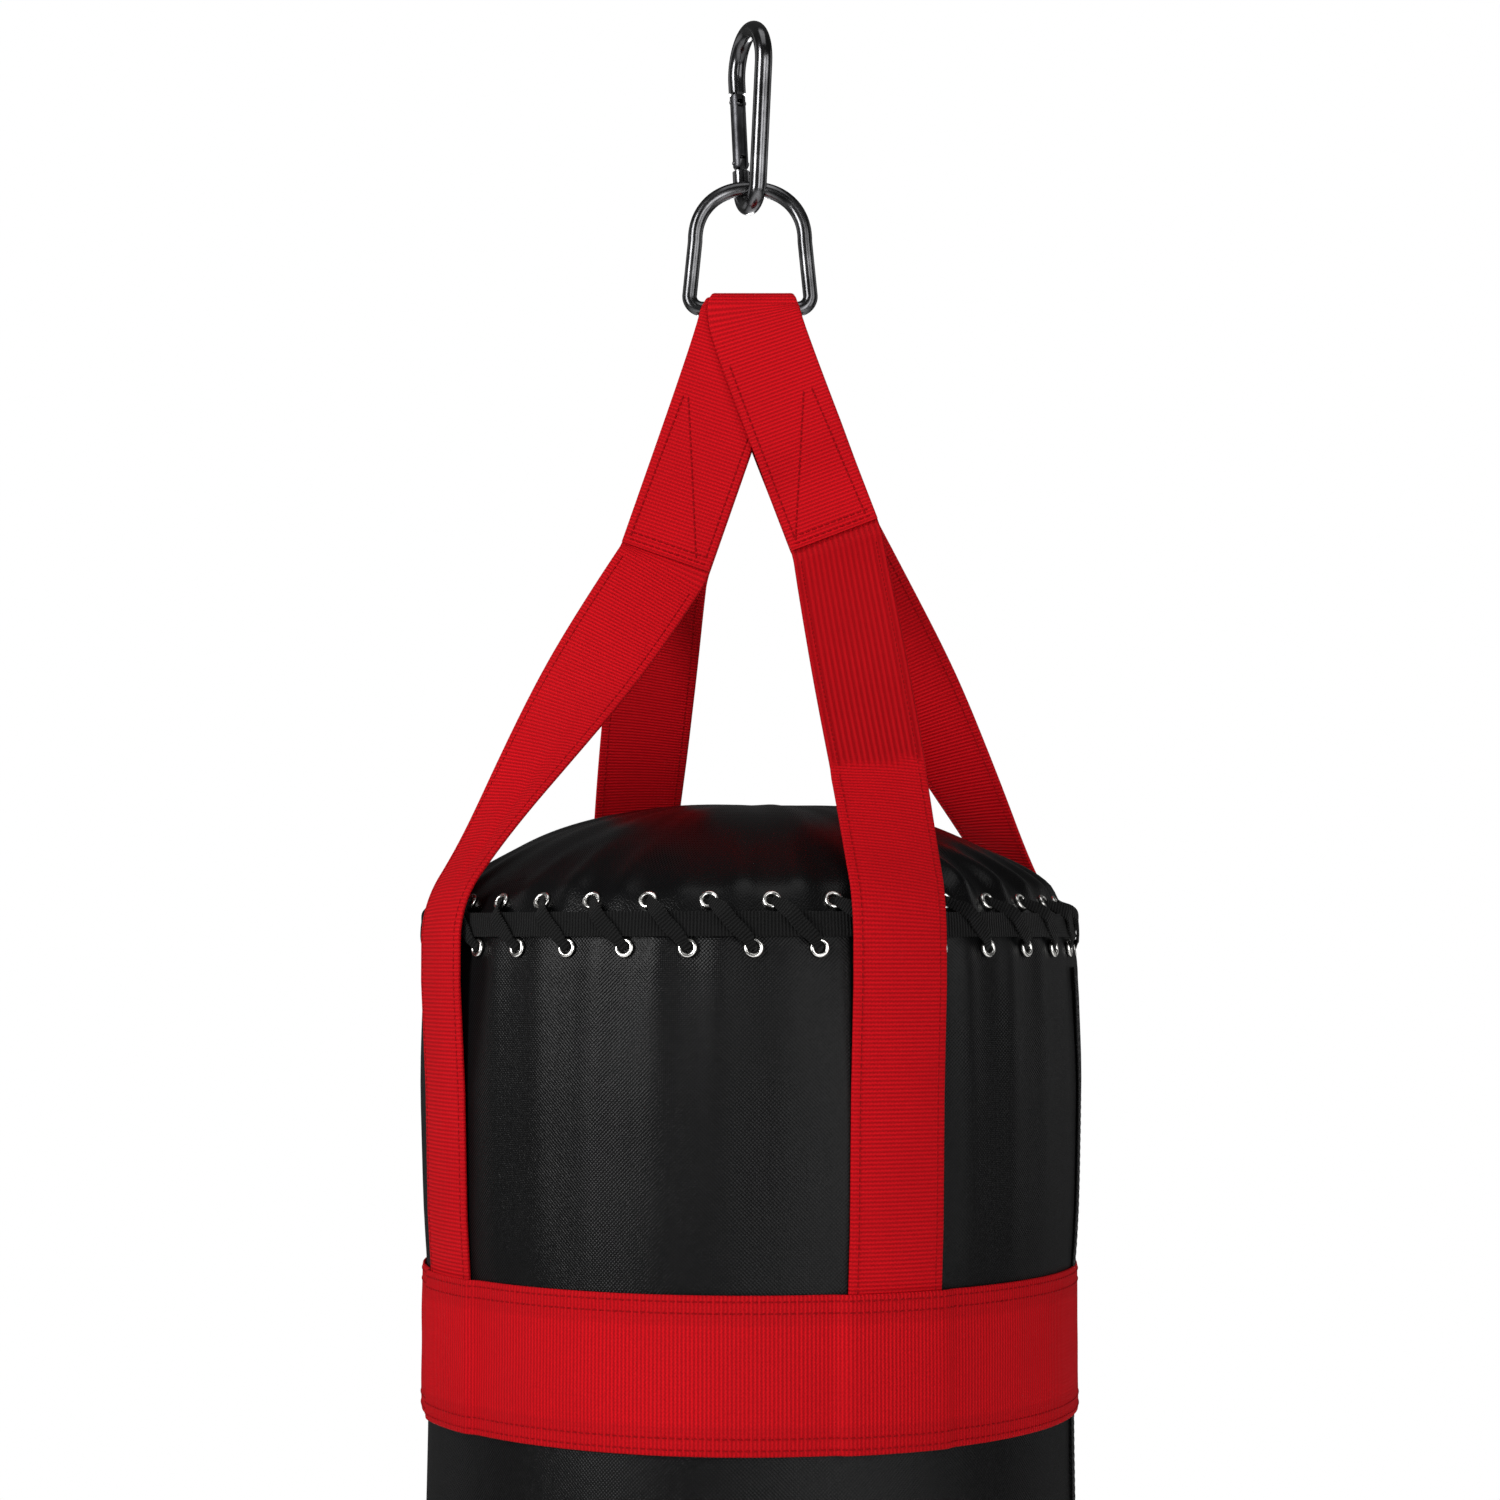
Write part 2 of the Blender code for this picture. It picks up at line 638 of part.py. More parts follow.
def build_strap(name, mat, bag_pivot, azimuth):
    """Webbing from between a loop's legs, over the shoulder of the bag and down to the belt."""
    out = radial(azimuth)
    side = 1 if out.x > 0 else -1
    front = out.y < 0
    seam_z = SEAM_Z_RIGHT if side > 0 else SEAM_Z_LEFT
    close_z = LEG_CLOSE_Z_RIGHT if side > 0 else LEG_CLOSE_Z_LEFT
    y = -STRAP_HALF_GAP if front else STRAP_HALF_GAP
    corners = []
    top_z = close_z - STRAP_HIDDEN
    for z in (top_z, (top_z + seam_z) / 2, seam_z):
        drop = (BAR_Z - z) / (BAR_Z - seam_z)
        corners.append(Vector((leg_x(side, drop), y, z)))
    seam = corners[-1]
    seam_dir = (corners[-1] - corners[-2]).normalized()
    corners[-1] = seam + seam_dir * SEAM_RUN_ON
    corners.append(out * SHOULDER_R + UP * SHOULDER_Z)
    corners.append(out * SHOULDER_R + UP * SHOULDER_FREE_Z)
    below = [z for _, z in SKIN_PROFILE if STRAP_END_Z < z < STRAP_LANDS_Z] + [STRAP_END_Z]
    on_skin = [out * (skin_radius(z) + STRAP_LIFT + STRAP_T / 2) + UP * z for z in below]
    path = rounded(corners + on_skin[:1], [SEAM_BEND, SEAM_BEND, SHOULDER_BEND, SHOULDER_BEND])
    path += on_skin[1:]
    tilt = SEAM_TILT * side
    start_dir = Vector((math.cos(tilt), 0.0, math.sin(tilt)))
    tangent_dir = Vector((math.cos(azimuth), math.sin(azimuth), 0.0))
    if not front:
        start_dir = -start_dir
    path = divided(path, STRAP_STEP)
    lengths = [0.0]
    for before, after in zip(path, path[1:]):
        lengths.append(lengths[-1] + (after - before).length)
    seam_at = lengths[min(range(len(path)), key=lambda i: (path[i] - seam).length)]
    shoulder_at = lengths[min(range(len(path)), key=lambda i: abs(path[i].z - SHOULDER_Z))]
    dirs, curves = [], []
    for index, length in enumerate(lengths):
        turn = smoothstep((length - seam_at) / (shoulder_at - seam_at))
        before = path[max(index - 1, 0)]
        after = path[min(index + 1, len(path) - 1)]
        tangent = (after - before).normalized()
        across = start_dir * (1 - turn) + tangent_dir * turn
        dirs.append((across - tangent * across.dot(tangent)).normalized())
        curves.append(turn ** CURVING_POWER / SHOULDER_R)
    mesh = ribbon(path, [STRAP_W] * len(path), dirs, STRAP_T, curves)
    make_object(name, mesh, mat, bag_pivot)


def build_belt(mat, bag_pivot):
    outer = BELT_INNER_R + BELT_T
    outline = [
        (outer, BELT_TOP_Z), (outer, BELT_LOW_Z), (BELT_INNER_R, BELT_LOW_Z), (BELT_INNER_R, BELT_TOP_Z),
    ]
    make_object("belt", turned(outline), mat, bag_pivot)


# ---------------------------------------------------------------- bag
def cap_profile():
    """Outside of the cap from the crest to the edge."""
    points = []
    for ring in range(CAP_RINGS + 1):
        r = CAP_DOME_R * ring / CAP_RINGS
        points.append((r, CAP_CREST_Z + (CAP_DOME_Z - CAP_CREST_Z) * (r / CAP_DOME_R) ** CAP_POWER))
    points.append((CAP_EDGE_R, CAP_EDGE_Z))
    return points


def slope_frame(start, end):
    """Unit direction down a cone's side and its outward normal, both in (r, z)."""
    run = Vector((end[0] - start[0], end[1] - start[1])).normalized()
    return run, Vector((-run.y, run.x))


def offset_point(point, normal, distance):
    return (point[0] + normal[0] * distance, point[1] + normal[1] * distance)


CAP_RIM = ((CAP_DOME_R, CAP_DOME_Z), (CAP_EDGE_R, CAP_EDGE_Z))
SKIN_RIM = (SKIN_PROFILE[0], SKIN_PROFILE[1])


def on_cone(cone, z):
    (r0, z0), (r1, z1) = cone
    return (r0 + (r1 - r0) * (z0 - z) / (z0 - z1), z)


def row_places(cone, row_z, start):
    """Centre, outward normal and azimuth of every eyelet in a row."""
    _, normal = slope_frame(*cone)
    r, z = on_cone(cone, row_z)
    for index in range(EYELETS):
        azimuth = start + index * math.tau / EYELETS
        out = radial(azimuth)
        yield out * r + UP * z, out * normal.x + UP * normal.y, azimuth


def row_prisms(cone, row_z, start, radius, low, high):
    """One short bar at every eyelet of a row."""
    return joined([
        prism(centre, normal, radius, low, high, EYELET_SIDES)
        for centre, normal, _ in row_places(cone, row_z, start)
    ])


ROWS = {
    "upper": (CAP_RIM, UPPER_ROW_Z, LOWER_ROW_START + ROW_OFFSET),
    "lower": (SKIN_RIM, LOWER_ROW_Z, LOWER_ROW_START),
}
BAND_OUT = -(SKIN_T + GAP)
BAND_IN = BAND_OUT - BAND_T
BARREL_SHARE = 0.9               # an eyelet's barrel ends inside the strip, whose flats lie deeper
BAND_ROOT = BAND_OUT - BAND_T * BARREL_SHARE


def build_eyelet_band(name, row, mat, bag_pivot):
    """Strip behind the vinyl with a row of eyelets through it."""
    cone, row_z, start = row
    run, normal = slope_frame(*cone)
    middle = on_cone(cone, row_z)
    high = (middle[0] - run.x * BAND_HALF_H, middle[1] - run.y * BAND_HALF_H)
    low = (middle[0] + run.x * BAND_HALF_H, middle[1] + run.y * BAND_HALF_H)
    outline = [
        offset_point(high, normal, BAND_OUT), offset_point(low, normal, BAND_OUT),
        offset_point(low, normal, BAND_IN), offset_point(high, normal, BAND_IN),
    ]
    strip = turned(outline, INNER_STEPS, start + math.pi / INNER_STEPS)
    band = combined(strip, row_prisms(cone, row_z, start, EYELET_R, BAND_ROOT, EYELET_PROUD), "UNION")
    reach = HOOK_WIRE
    band = combined(band, row_prisms(cone, row_z, start, EYELET_BORE_R, -reach, reach), "DIFFERENCE")
    make_object(name, band, mat, bag_pivot, smooth=False)


def pierced(shell, row):
    """Cut the holes of a row of eyelets through a shell."""
    cone, row_z, start = row
    cutter = row_prisms(cone, row_z, start, EYELET_R + GAP, -HOOK_WIRE, HOOK_WIRE)
    return combined(shell, cutter, "DIFFERENCE")


def build_cap(mat, bag_pivot):
    outside = cap_profile()
    _, normal = slope_frame(*CAP_RIM)
    inside = [(r, z - CAP_T) for r, z in outside[:-2:2]]
    inside.append(offset_point(outside[-2], normal, -CAP_T))
    inside.append(offset_point(outside[-1], normal, -CAP_T))
    half_step = math.pi / BAG_STEPS
    shell = turned(outside + inside[::-1], start=ROWS["upper"][2] + half_step)
    make_object("top_cap", pierced(shell, ROWS["upper"]), mat, bag_pivot)


def build_skin(mat, bag_pivot):
    low = SKIN_PROFILE[-1][1]
    inside = [(r - SKIN_T, z) for r, z in SKIN_PROFILE[:2]]
    inside += [(SKIN_INNER_R, SKIN_INNER_Z), (SKIN_INNER_R, low)]
    half_step = math.pi / BAG_STEPS
    shell = turned(SKIN_PROFILE + inside[::-1], start=ROWS["lower"][2] + half_step)
    make_object("body_skin", pierced(shell, ROWS["lower"]), mat, bag_pivot)


def build_trim(tape_mat, vinyl, bag_pivot):
    run, normal = slope_frame(TAPE_TOP, TAPE_LOW)
    outline = [
        offset_point(TAPE_TOP, normal, TAPE_T), offset_point(TAPE_LOW, normal, TAPE_T), TAPE_LOW, TAPE_TOP,
    ]
    make_object("hem_tape", turned(outline), tape_mat, bag_pivot)
    low = SKIN_PROFILE[-1][1]
    inner = SKIN_PROFILE[-2][0] + GAP
    outer = inner + BINDING_T
    outline = [(outer, low + BINDING_H), (outer, low), (inner, low), (inner, low + BINDING_H)]
    make_object("base_binding", turned(outline), tape_mat, bag_pivot)
    disc_r = SKIN_PROFILE[-1][0]
    outline = [(0.0, BASE_Z + DISC_T), (disc_r, BASE_Z + DISC_T), (disc_r, BASE_Z), (0.0, BASE_Z)]
    make_object("bottom_disc", turned(outline), vinyl, bag_pivot)
    out = radial(SEAM_STRIP_AZIMUTH)
    across = Vector((math.cos(SEAM_STRIP_AZIMUTH), math.sin(SEAM_STRIP_AZIMUTH), 0.0))
    heights = [SEAM_STRIP_TOP_Z] + [z for _, z in SKIN_PROFILE if SEAM_STRIP_LOW_Z < z < SEAM_STRIP_TOP_Z]
    heights.append(SEAM_STRIP_LOW_Z)
    points = [out * (skin_radius(z) + GAP + SEAM_STRIP_T / 2) + UP * z for z in heights]
    count = len(points)
    strip = ribbon(points, [SEAM_STRIP_W] * count, [across] * count, SEAM_STRIP_T)
    make_object("side_seam_strip", strip, vinyl, bag_pivot)


def build_filling(foam, textile, bag_pivot):
    inner = LINER_OUTER_R - LINER_T
    low = PAD_LOW_Z
    outline = [(LINER_OUTER_R, LINER_TOP_Z), (LINER_OUTER_R, low), (inner, low), (inner, LINER_TOP_Z)]
    make_object("foam_liner", turned(outline, INNER_STEPS), foam, bag_pivot)
    outline = [(0.0, low + PAD_T), (PAD_R, low + PAD_T), (PAD_R, low), (0.0, low)]
    make_object("bottom_pad", turned(outline, INNER_STEPS), foam, bag_pivot)
    low = low + PAD_T + GAP
    outline = [(0.0, FILLING_TOP_Z), (PAD_R, FILLING_TOP_Z), (PAD_R, low), (0.0, low)]
    make_object("textile_filling", turned(outline, INNER_STEPS), textile, bag_pivot)
    dome = [(r, z - CAP_T - PAD_DROP) for r, z in cap_profile()[:-1:2]]
    (r0, z0), (r1, z1) = dome[-2:]
    edge_z = z0 + (z1 - z0) * (PAD_R - r0) / (r1 - r0)
    low = FILLING_TOP_Z + GAP
    outline = dome[:-1] + [(PAD_R, edge_z), (PAD_R, low), (0.0, low)]
    make_object("top_pad", turned(outline, INNER_STEPS), foam, bag_pivot)


def build_lace(mat, bag_pivot):
    """One lace whipped through both rows: down over the tape outside, and back up inside."""
    uppers = list(row_places(*ROWS["upper"]))
    lowers = list(row_places(*ROWS["lower"]))
    outside = EYELET_PROUD + LACE_D / 2 + GAP * 2
    inside = BAND_IN - LACE_BEHIND - LACE_D / 2
    _, tape_normal = slope_frame(TAPE_TOP, TAPE_LOW)
    points = []
    for (upper, upper_normal, upper_az), (lower, lower_normal, lower_az) in zip(uppers, lowers):
        points.append(upper + upper_normal * inside)
        points.append(upper + upper_normal * outside)
        for (share, rise), place in zip(LACE_OVER_TAPE, (TAPE_TOP, TAPE_LOW)):
            r, z = offset_point(place, tape_normal, TAPE_T + rise)
            points.append(radial(upper_az + (lower_az - upper_az) * share) * r + UP * z)
        points.append(lower + lower_normal * outside)
        points.append(lower + lower_normal * inside)
    bm = bmesh.new()
    loops = []
    count = len(points)
    across = None
    for index, point in enumerate(points):
        tangent = (points[(index + 1) % count] - points[index - 1]).normalized()
        azimuth = math.atan2(point.x, -point.y)
        around = Vector((math.cos(azimuth), math.sin(azimuth), 0.0))
        side = (around - tangent * around.dot(tangent)).normalized()
        over = tangent.cross(side)
        loop = []
        for corner in range(LACE_SIDES):
            angle = corner * math.tau / LACE_SIDES
            loop.append(point + LACE_D / 2 * (math.cos(angle) * side + math.sin(angle) * over))
        loops.append(loop)
    skin_loops(bm, loops, closed_path=True)
    make_object("lace", bm, mat, bag_pivot)


def main():
    clear_scene()
    polished = material("polished_steel", (0.30, 0.30, 0.31), 0.25, 1.0)
    dark_steel = material("gate_steel", (0.16, 0.16, 0.17), 0.30, 1.0)
    ring_steel = material("ring_steel", (0.24, 0.24, 0.25), 0.22, 1.0)
    nickel = material("nickel", (0.62, 0.62, 0.60), 0.20, 1.0)
    webbing = material("red_webbing", (0.56, 0.006, 0.012), 0.70)
    vinyl = material("black_vinyl", (0.012, 0.012, 0.013), 0.42)
    tape = material("black_tape", (0.010, 0.010, 0.010), 0.85)
    lace_mat = material("black_lace", (0.008, 0.008, 0.008), 0.90)
    foam = material("foam", (0.30, 0.31, 0.33), 0.95)
    textile = material("shredded_textile", (0.32, 0.30, 0.28), 1.0)

    hinge_pivot = pivot("gate_pivot", HINGE)
    ring_pivot = pivot("ring_pivot", UP * (EYE_FLOOR_Z - HOOK_WIRE / 2))
    bag_pivot = pivot("bag_pivot", UP * BAR_Z)
    build_carabiner(polished, dark_steel, hinge_pivot)
    build_ring(ring_steel, ring_pivot)
    left_wrap = RING_WIRE / 2 + GAP * 1.5 + LOOP_T / 2
    right_wrap = left_wrap + LOOP_T + GAP
    build_loop("left_hanger_loop", webbing, bag_pivot, -1,
               SEAM_Z_LEFT, BAR_Z, LEG_CLOSE_Z_LEFT, left_wrap)
    build_loop("right_hanger_loop", webbing, bag_pivot, 1,
               SEAM_Z_RIGHT, LOOPS_PART_Z, LEG_CLOSE_Z_RIGHT, right_wrap)
    for name, azimuth in STRAP_AZIMUTHS.items():
        build_strap(name, webbing, bag_pivot, azimuth)
    build_belt(webbing, bag_pivot)
    build_cap(vinyl, bag_pivot)
    build_skin(vinyl, bag_pivot)
    build_trim(tape, vinyl, bag_pivot)
    build_filling(foam, textile, bag_pivot)
    build_eyelet_band("upper_eyelet_band", ROWS["upper"], nickel, bag_pivot)
    build_eyelet_band("lower_eyelet_band", ROWS["lower"], nickel, bag_pivot)
    build_lace(lace_mat, bag_pivot)


main()
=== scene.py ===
"""Looks of a heavy punching bag: steel hanging gear, red webbing, laced black vinyl and the filling.

Units are metres, +Z is up and the front of the bag faces -Y.  The origin is the inside top of the
carabiner.  Azimuths run from the front, positive towards +X.
"""
import json
import math

import bmesh
import bpy
import numpy as np
from mathutils import Matrix, Vector, noise


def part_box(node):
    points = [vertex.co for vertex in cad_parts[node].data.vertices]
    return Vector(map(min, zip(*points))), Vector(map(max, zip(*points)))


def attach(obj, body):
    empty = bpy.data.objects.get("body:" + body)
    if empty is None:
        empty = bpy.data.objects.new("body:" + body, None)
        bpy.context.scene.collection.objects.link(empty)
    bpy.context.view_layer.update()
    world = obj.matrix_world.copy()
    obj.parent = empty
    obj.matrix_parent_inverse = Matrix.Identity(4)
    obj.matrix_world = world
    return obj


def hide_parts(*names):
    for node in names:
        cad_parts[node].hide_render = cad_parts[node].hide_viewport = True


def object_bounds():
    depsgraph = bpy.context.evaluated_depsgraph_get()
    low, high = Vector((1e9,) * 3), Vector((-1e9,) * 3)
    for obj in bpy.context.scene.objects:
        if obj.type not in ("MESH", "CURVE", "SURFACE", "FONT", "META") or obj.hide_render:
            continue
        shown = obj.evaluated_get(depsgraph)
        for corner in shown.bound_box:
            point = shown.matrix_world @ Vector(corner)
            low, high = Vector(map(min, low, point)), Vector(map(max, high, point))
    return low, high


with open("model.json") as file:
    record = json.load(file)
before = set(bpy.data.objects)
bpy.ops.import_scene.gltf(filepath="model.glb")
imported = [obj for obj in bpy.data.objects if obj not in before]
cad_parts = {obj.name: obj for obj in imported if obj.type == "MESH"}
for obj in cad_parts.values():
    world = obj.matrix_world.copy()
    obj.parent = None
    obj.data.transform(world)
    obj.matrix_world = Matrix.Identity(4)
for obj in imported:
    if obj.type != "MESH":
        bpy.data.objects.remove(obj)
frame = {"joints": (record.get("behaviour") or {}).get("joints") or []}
CAD_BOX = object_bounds()

bl_info = {
    "name": "Heavy punching bag",
    "version": (1, 0, 0),
    "blender": (4, 5, 0),
    "location": "3D View > Sidebar > Punching bag",
    "description": "Builds a laced punching bag with its webbing harness and steel hanging gear",
    "category": "Object",
}

UP = Vector((0.0, 0.0, 1.0))
GAP = 0.0003                       # between pieces that lie against each other
HOOK_WIRE = 0.0095
GATE_WIRE = 0.0085
RING_WIRE = 0.0080
WEBBING_NAME = "red_ribbed_webbing"
THREAD_NAME = "red_sewing_thread"


def low_z(node):
    """Lowest height of a node of the frame."""
    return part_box(node)[0].z


def high_z(node):
    """Highest height of a node of the frame."""
    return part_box(node)[1].z


# ---------------------------------------------------------------- settings
class HardwareSettings(bpy.types.PropertyGroup):
    hook_wire: bpy.props.FloatProperty(
        name="Carabiner bar", description="Diameter of the carabiner's round bar",
        default=HOOK_WIRE, min=0.004, max=0.02, unit="LENGTH")
    gate_wire: bpy.props.FloatProperty(
        name="Gate bar", description="Diameter of the carabiner's gate",
        default=GATE_WIRE, min=0.004, max=0.02, unit="LENGTH")
    ring_wire: bpy.props.FloatProperty(
        name="Ring bar", description="Diameter of the D-ring's round bar",
        default=RING_WIRE, min=0.004, max=0.02, unit="LENGTH")
    steel_colour: bpy.props.FloatVectorProperty(
        name="Steel", description="Colour of the polished dark steel",
        default=(0.145, 0.145, 0.15), subtype="COLOR", size=3, min=0.0, max=1.0)
    gate_colour: bpy.props.FloatVectorProperty(
        name="Gate steel", description="Colour of the gate's satin steel",
        default=(0.07, 0.07, 0.075), subtype="COLOR", size=3, min=0.0, max=1.0)


class WebbingSettings(bpy.types.PropertyGroup):
    width: bpy.props.FloatProperty(
        name="Width", description="Width of the loops and straps",
        default=0.050, min=0.02, max=0.1, unit="LENGTH")
    rib_pitch: bpy.props.FloatProperty(
        name="Rib pitch", description="Distance between two cross ribs of the weave",
        default=0.0020, min=0.0005, max=0.004, unit="LENGTH")
    stitch_length: bpy.props.FloatProperty(
        name="Stitch length", description="Length of one stitch",
        default=0.0029, min=0.001, max=0.01, unit="LENGTH")
    stitch_pitch: bpy.props.FloatProperty(
        name="Stitch pitch", description="Distance from one stitch to the next",
        default=0.0036, min=0.001, max=0.01, unit="LENGTH")
    colour: bpy.props.FloatVectorProperty(
        name="Webbing", description="Colour of the webbing",
        default=(0.46, 0.003, 0.007), subtype="COLOR", size=3, min=0.0, max=1.0)


class BagSettings(bpy.types.PropertyGroup):
    eyelets: bpy.props.IntProperty(
        name="Eyelets", description="Number of eyelets in each row", default=34, min=8, max=60)
    eyelet_radius: bpy.props.FloatProperty(
        name="Eyelet radius", description="Outer radius of an eyelet's flange",
        default=0.0048, min=0.002, max=0.01, unit="LENGTH")
    gather: bpy.props.FloatProperty(
        name="Gathers", description="Height of the folds that the lacing makes in the vinyl",
        default=0.0050, min=0.0, max=0.008, unit="LENGTH")
    vinyl_colour: bpy.props.FloatVectorProperty(
        name="Vinyl", description="Colour of the vinyl",
        default=(0.0028, 0.0028, 0.0030), subtype="COLOR", size=3, min=0.0, max=1.0)
    grain_pitch: bpy.props.FloatProperty(
        name="Grain pitch", description="Distance between two bumps of the embossed grain",
        default=0.0019, min=0.0005, max=0.005, unit="LENGTH")


class StageSettings(bpy.types.PropertyGroup):
    distance: bpy.props.FloatProperty(
        name="Camera distance", description="Distance from the camera to the bag's axis",
        default=1.577, min=0.5, max=10.0, unit="LENGTH")
    floor_colour: bpy.props.FloatVectorProperty(
        name="Floor", description="Colour of the floor",
        default=(0.86, 0.86, 0.86), subtype="COLOR", size=3, min=0.0, max=1.0)
    key_power: bpy.props.FloatProperty(
        name="Key light", description="Power of the large light at the front left",
        default=36.0, min=0.0, max=500.0)


# ---------------------------------------------------------------- node finishes
class Signal:
    """A node's output socket that can be used in Python arithmetic."""

    def __init__(self, finish, socket):
        self.finish = finish
        self.socket = socket

    def math(self, operation, *others):
        """This signal and the others through one Math node."""
        return self.finish.add("ShaderNodeMath", {"operation": operation}, dict(enumerate((self, *others))))

    def __add__(self, other):
        return self.math("ADD", other)

    __radd__ = __add__

    def __mul__(self, other):
        return self.math("MULTIPLY", other)

    __rmul__ = __mul__

    def __rsub__(self, other):
        return self * -1.0 + other

    def above(self, low, high):
        """0 below low, 1 above high, smooth between them."""
        return self.finish.add("ShaderNodeMapRange", {"interpolation_type": "SMOOTHSTEP"},
                               {"Value": self, "From Min": low, "From Max": high})

    def wave(self, turns):
        """Cosine of that many turns for each unit, from 0 to 1."""
        return (self * (math.tau * turns)).math("COSINE") * 0.5 + 0.5


class Finish:
    """One material, built from nodes round a Principled shader."""

    def __init__(self, name, constants):
        self.material = bpy.data.materials.new(name)
        self.material.use_nodes = True
        self.nodes = self.material.node_tree.nodes
        self.links = self.material.node_tree.links
        self.shader = self.nodes["Principled BSDF"]
        for socket, value in constants.items():
            self.shader.inputs[socket].default_value = value

    def add(self, kind, settings=None, values=None, output=0):
        """New node of a type: its settings first, then the values or signals of its sockets."""
        node = self.nodes.new(kind)
        for key, value in (settings or {}).items():
            setattr(node, key, value)
        for socket, value in (values or {}).items():
            self.feed(node.inputs[socket], value)
        return Signal(self, node.outputs[output])

    def feed(self, socket, value):
        """Give a socket a signal, a colour or a number."""
        if isinstance(value, Signal):
            self.links.new(value.socket, socket)
        elif socket.type == "RGBA":
            socket.default_value = (*value, 1.0)
        else:
            socket.default_value = value

    def place(self):
        """Position in the piece's own space, which doesn't change as the piece moves."""
        return self.add("ShaderNodeTexCoord", output="Object")

    def split(self, vector):
        """The three numbers of a vector."""
        node = self.add("ShaderNodeSeparateXYZ", values={"Vector": vector}).socket.node
        return [Signal(self, output) for output in node.outputs]

    def attribute(self, name, output="Vector"):
        """A value stored on the mesh."""
        return self.add("ShaderNodeAttribute", {"attribute_name": name}, output=output)

    def stretched(self, vector, scale):
        """A vector with each of its axes scaled."""
        return self.add("ShaderNodeVectorMath", {"operation": "MULTIPLY"}, {0: vector, 1: scale})

    def cloud(self, scale, detail=3.0, vector=None, roughness=0.5):
        """Smooth noise from 0 to 1."""
        return self.add("ShaderNodeTexNoise", None, {
            "Vector": self.place() if vector is None else vector,
            "Scale": scale, "Detail": detail, "Roughness": roughness,
        })

    def blend(self, share, first, second):
        """Colour between two colours."""
        return self.add("ShaderNodeMix", {"data_type": "RGBA"}, {0: share, 6: first, 7: second}, output=2)

    def finished(self, colour=None, roughness=None, height=None):
        """Connect what varies; height is in metres."""
        for socket, value in (("Base Color", colour), ("Roughness", roughness)):
            if value is not None:
                self.feed(self.shader.inputs[socket], value)
        if height is not None:
            bump = self.add("ShaderNodeBump", None, {"Strength": 1.0, "Distance": 1.0, "Height": height})
            self.feed(self.shader.inputs["Normal"], bump)
        return self.material


def scaled(colour, factor):
    """A colour made lighter or darker."""
    return tuple(channel * factor for channel in colour)


def steel_finish(name, colour, roughness, scratch_depth):
    """Polished dark steel: smeared polish with fine scratches along it."""
    finish = Finish(name, {"Metallic": 1.0, "IOR": 2.2})
    smear = finish.cloud(60.0, 4.0)
    scratches = finish.cloud(900.0, 2.0, finish.stretched(finish.place(), (1.0, 1.0, 0.08)))
    fine = scratches.above(0.58, 0.66)
    tint = finish.blend(smear.above(0.35, 0.7), scaled(colour, 0.55), scaled(colour, 1.35))
    tint = finish.blend(fine * 0.18, tint, scaled(colour, 1.8))
    gloss = roughness + smear * 0.10 + fine * 0.05
    return finish.finished(tint, gloss, fine * -scratch_depth)


def nickel_finish():
    """Bright plated eyelets with a little wear."""
    finish = Finish("polished_nickel", {"Metallic": 1.0})
    wear = finish.cloud(400.0, 3.0)
    tint = finish.blend(wear.above(0.4, 0.75), (0.80, 0.79, 0.76), (0.52, 0.51, 0.49))
    return finish.finished(tint, wear * 0.22 + 0.12, wear * 0.000004)


def ribbed_height(u, v, pitch, depth):
    """Cross ribs broken into threads; u runs across the strip and v along it."""
    threads = u.wave(1.0 / (pitch * 0.94))
    ribs = (v + threads * (pitch * 0.10)).wave(1.0 / pitch)
    return ribs, (ribs * 0.8 + threads * 0.2) * depth


RIB_DEPTH = 0.00034
COLUMN_PITCHES = 1.5               # rib pitches from one lengthwise column to the next
COLUMN_DEPTH = 0.00028
EDGE_SHADE_SPAN = (0.0225, 0.0252)        # where the painted shade along the rounded edge of a 50 mm strip starts and ends


def webbing_finish(settings):
    """Ribbed red webbing; where reverse is 1, lengthwise columns show instead. Its colour carries painted
    shade in the grooves, along the rounded edges and past the front right strap's fold.
    """
    finish = Finish(WEBBING_NAME, {
        "Sheen Weight": 0.04, "Sheen Roughness": 0.35, "Sheen Tint": (1.0, 0.10, 0.10, 1.0),
        "Specular IOR Level": 0.05,
    })
    u, v, reverse = finish.split(finish.attribute("strip"))
    ribs, height = ribbed_height(u, v, settings.rib_pitch, RIB_DEPTH)
    columns = u.wave(1.0 / (settings.rib_pitch * COLUMN_PITCHES))
    shown = ribs * (1.0 - reverse) + columns * reverse
    height = height * (1.0 - reverse) + columns * reverse * COLUMN_DEPTH
    patches = finish.cloud(14.0, 4.0)
    threads = finish.cloud(1400.0, 2.0)
    base = settings.colour
    # partly random tone of the threads, partly painted shade: the grooves between ribs and columns are
    # painted darker, their crests lighter
    tint = finish.blend(shown * 0.75 + threads * 0.35, scaled(base, 0.50), scaled(base, 1.18))
    tint = finish.blend(patches.above(0.3, 0.75) * 0.35, tint, scaled(base, 0.66))
    # painted shade: the front right strap's upper part, past its fold, is painted darker
    tint = finish.blend(reverse * 0.42, tint, scaled(base, 0.42))
    # painted shade along the rounded edges of the strip
    edge = u.math("ABSOLUTE").above(*EDGE_SHADE_SPAN)
    tint = finish.blend(edge * 0.22, tint, scaled(base, 0.5))
    return finish.finished(tint, 0.58 + threads * 0.2, height + threads * 0.00008)


TWIST_SCALE = 2600.0               # fineness of a sewing thread's twist
TWIST_DEPTH = 0.00006


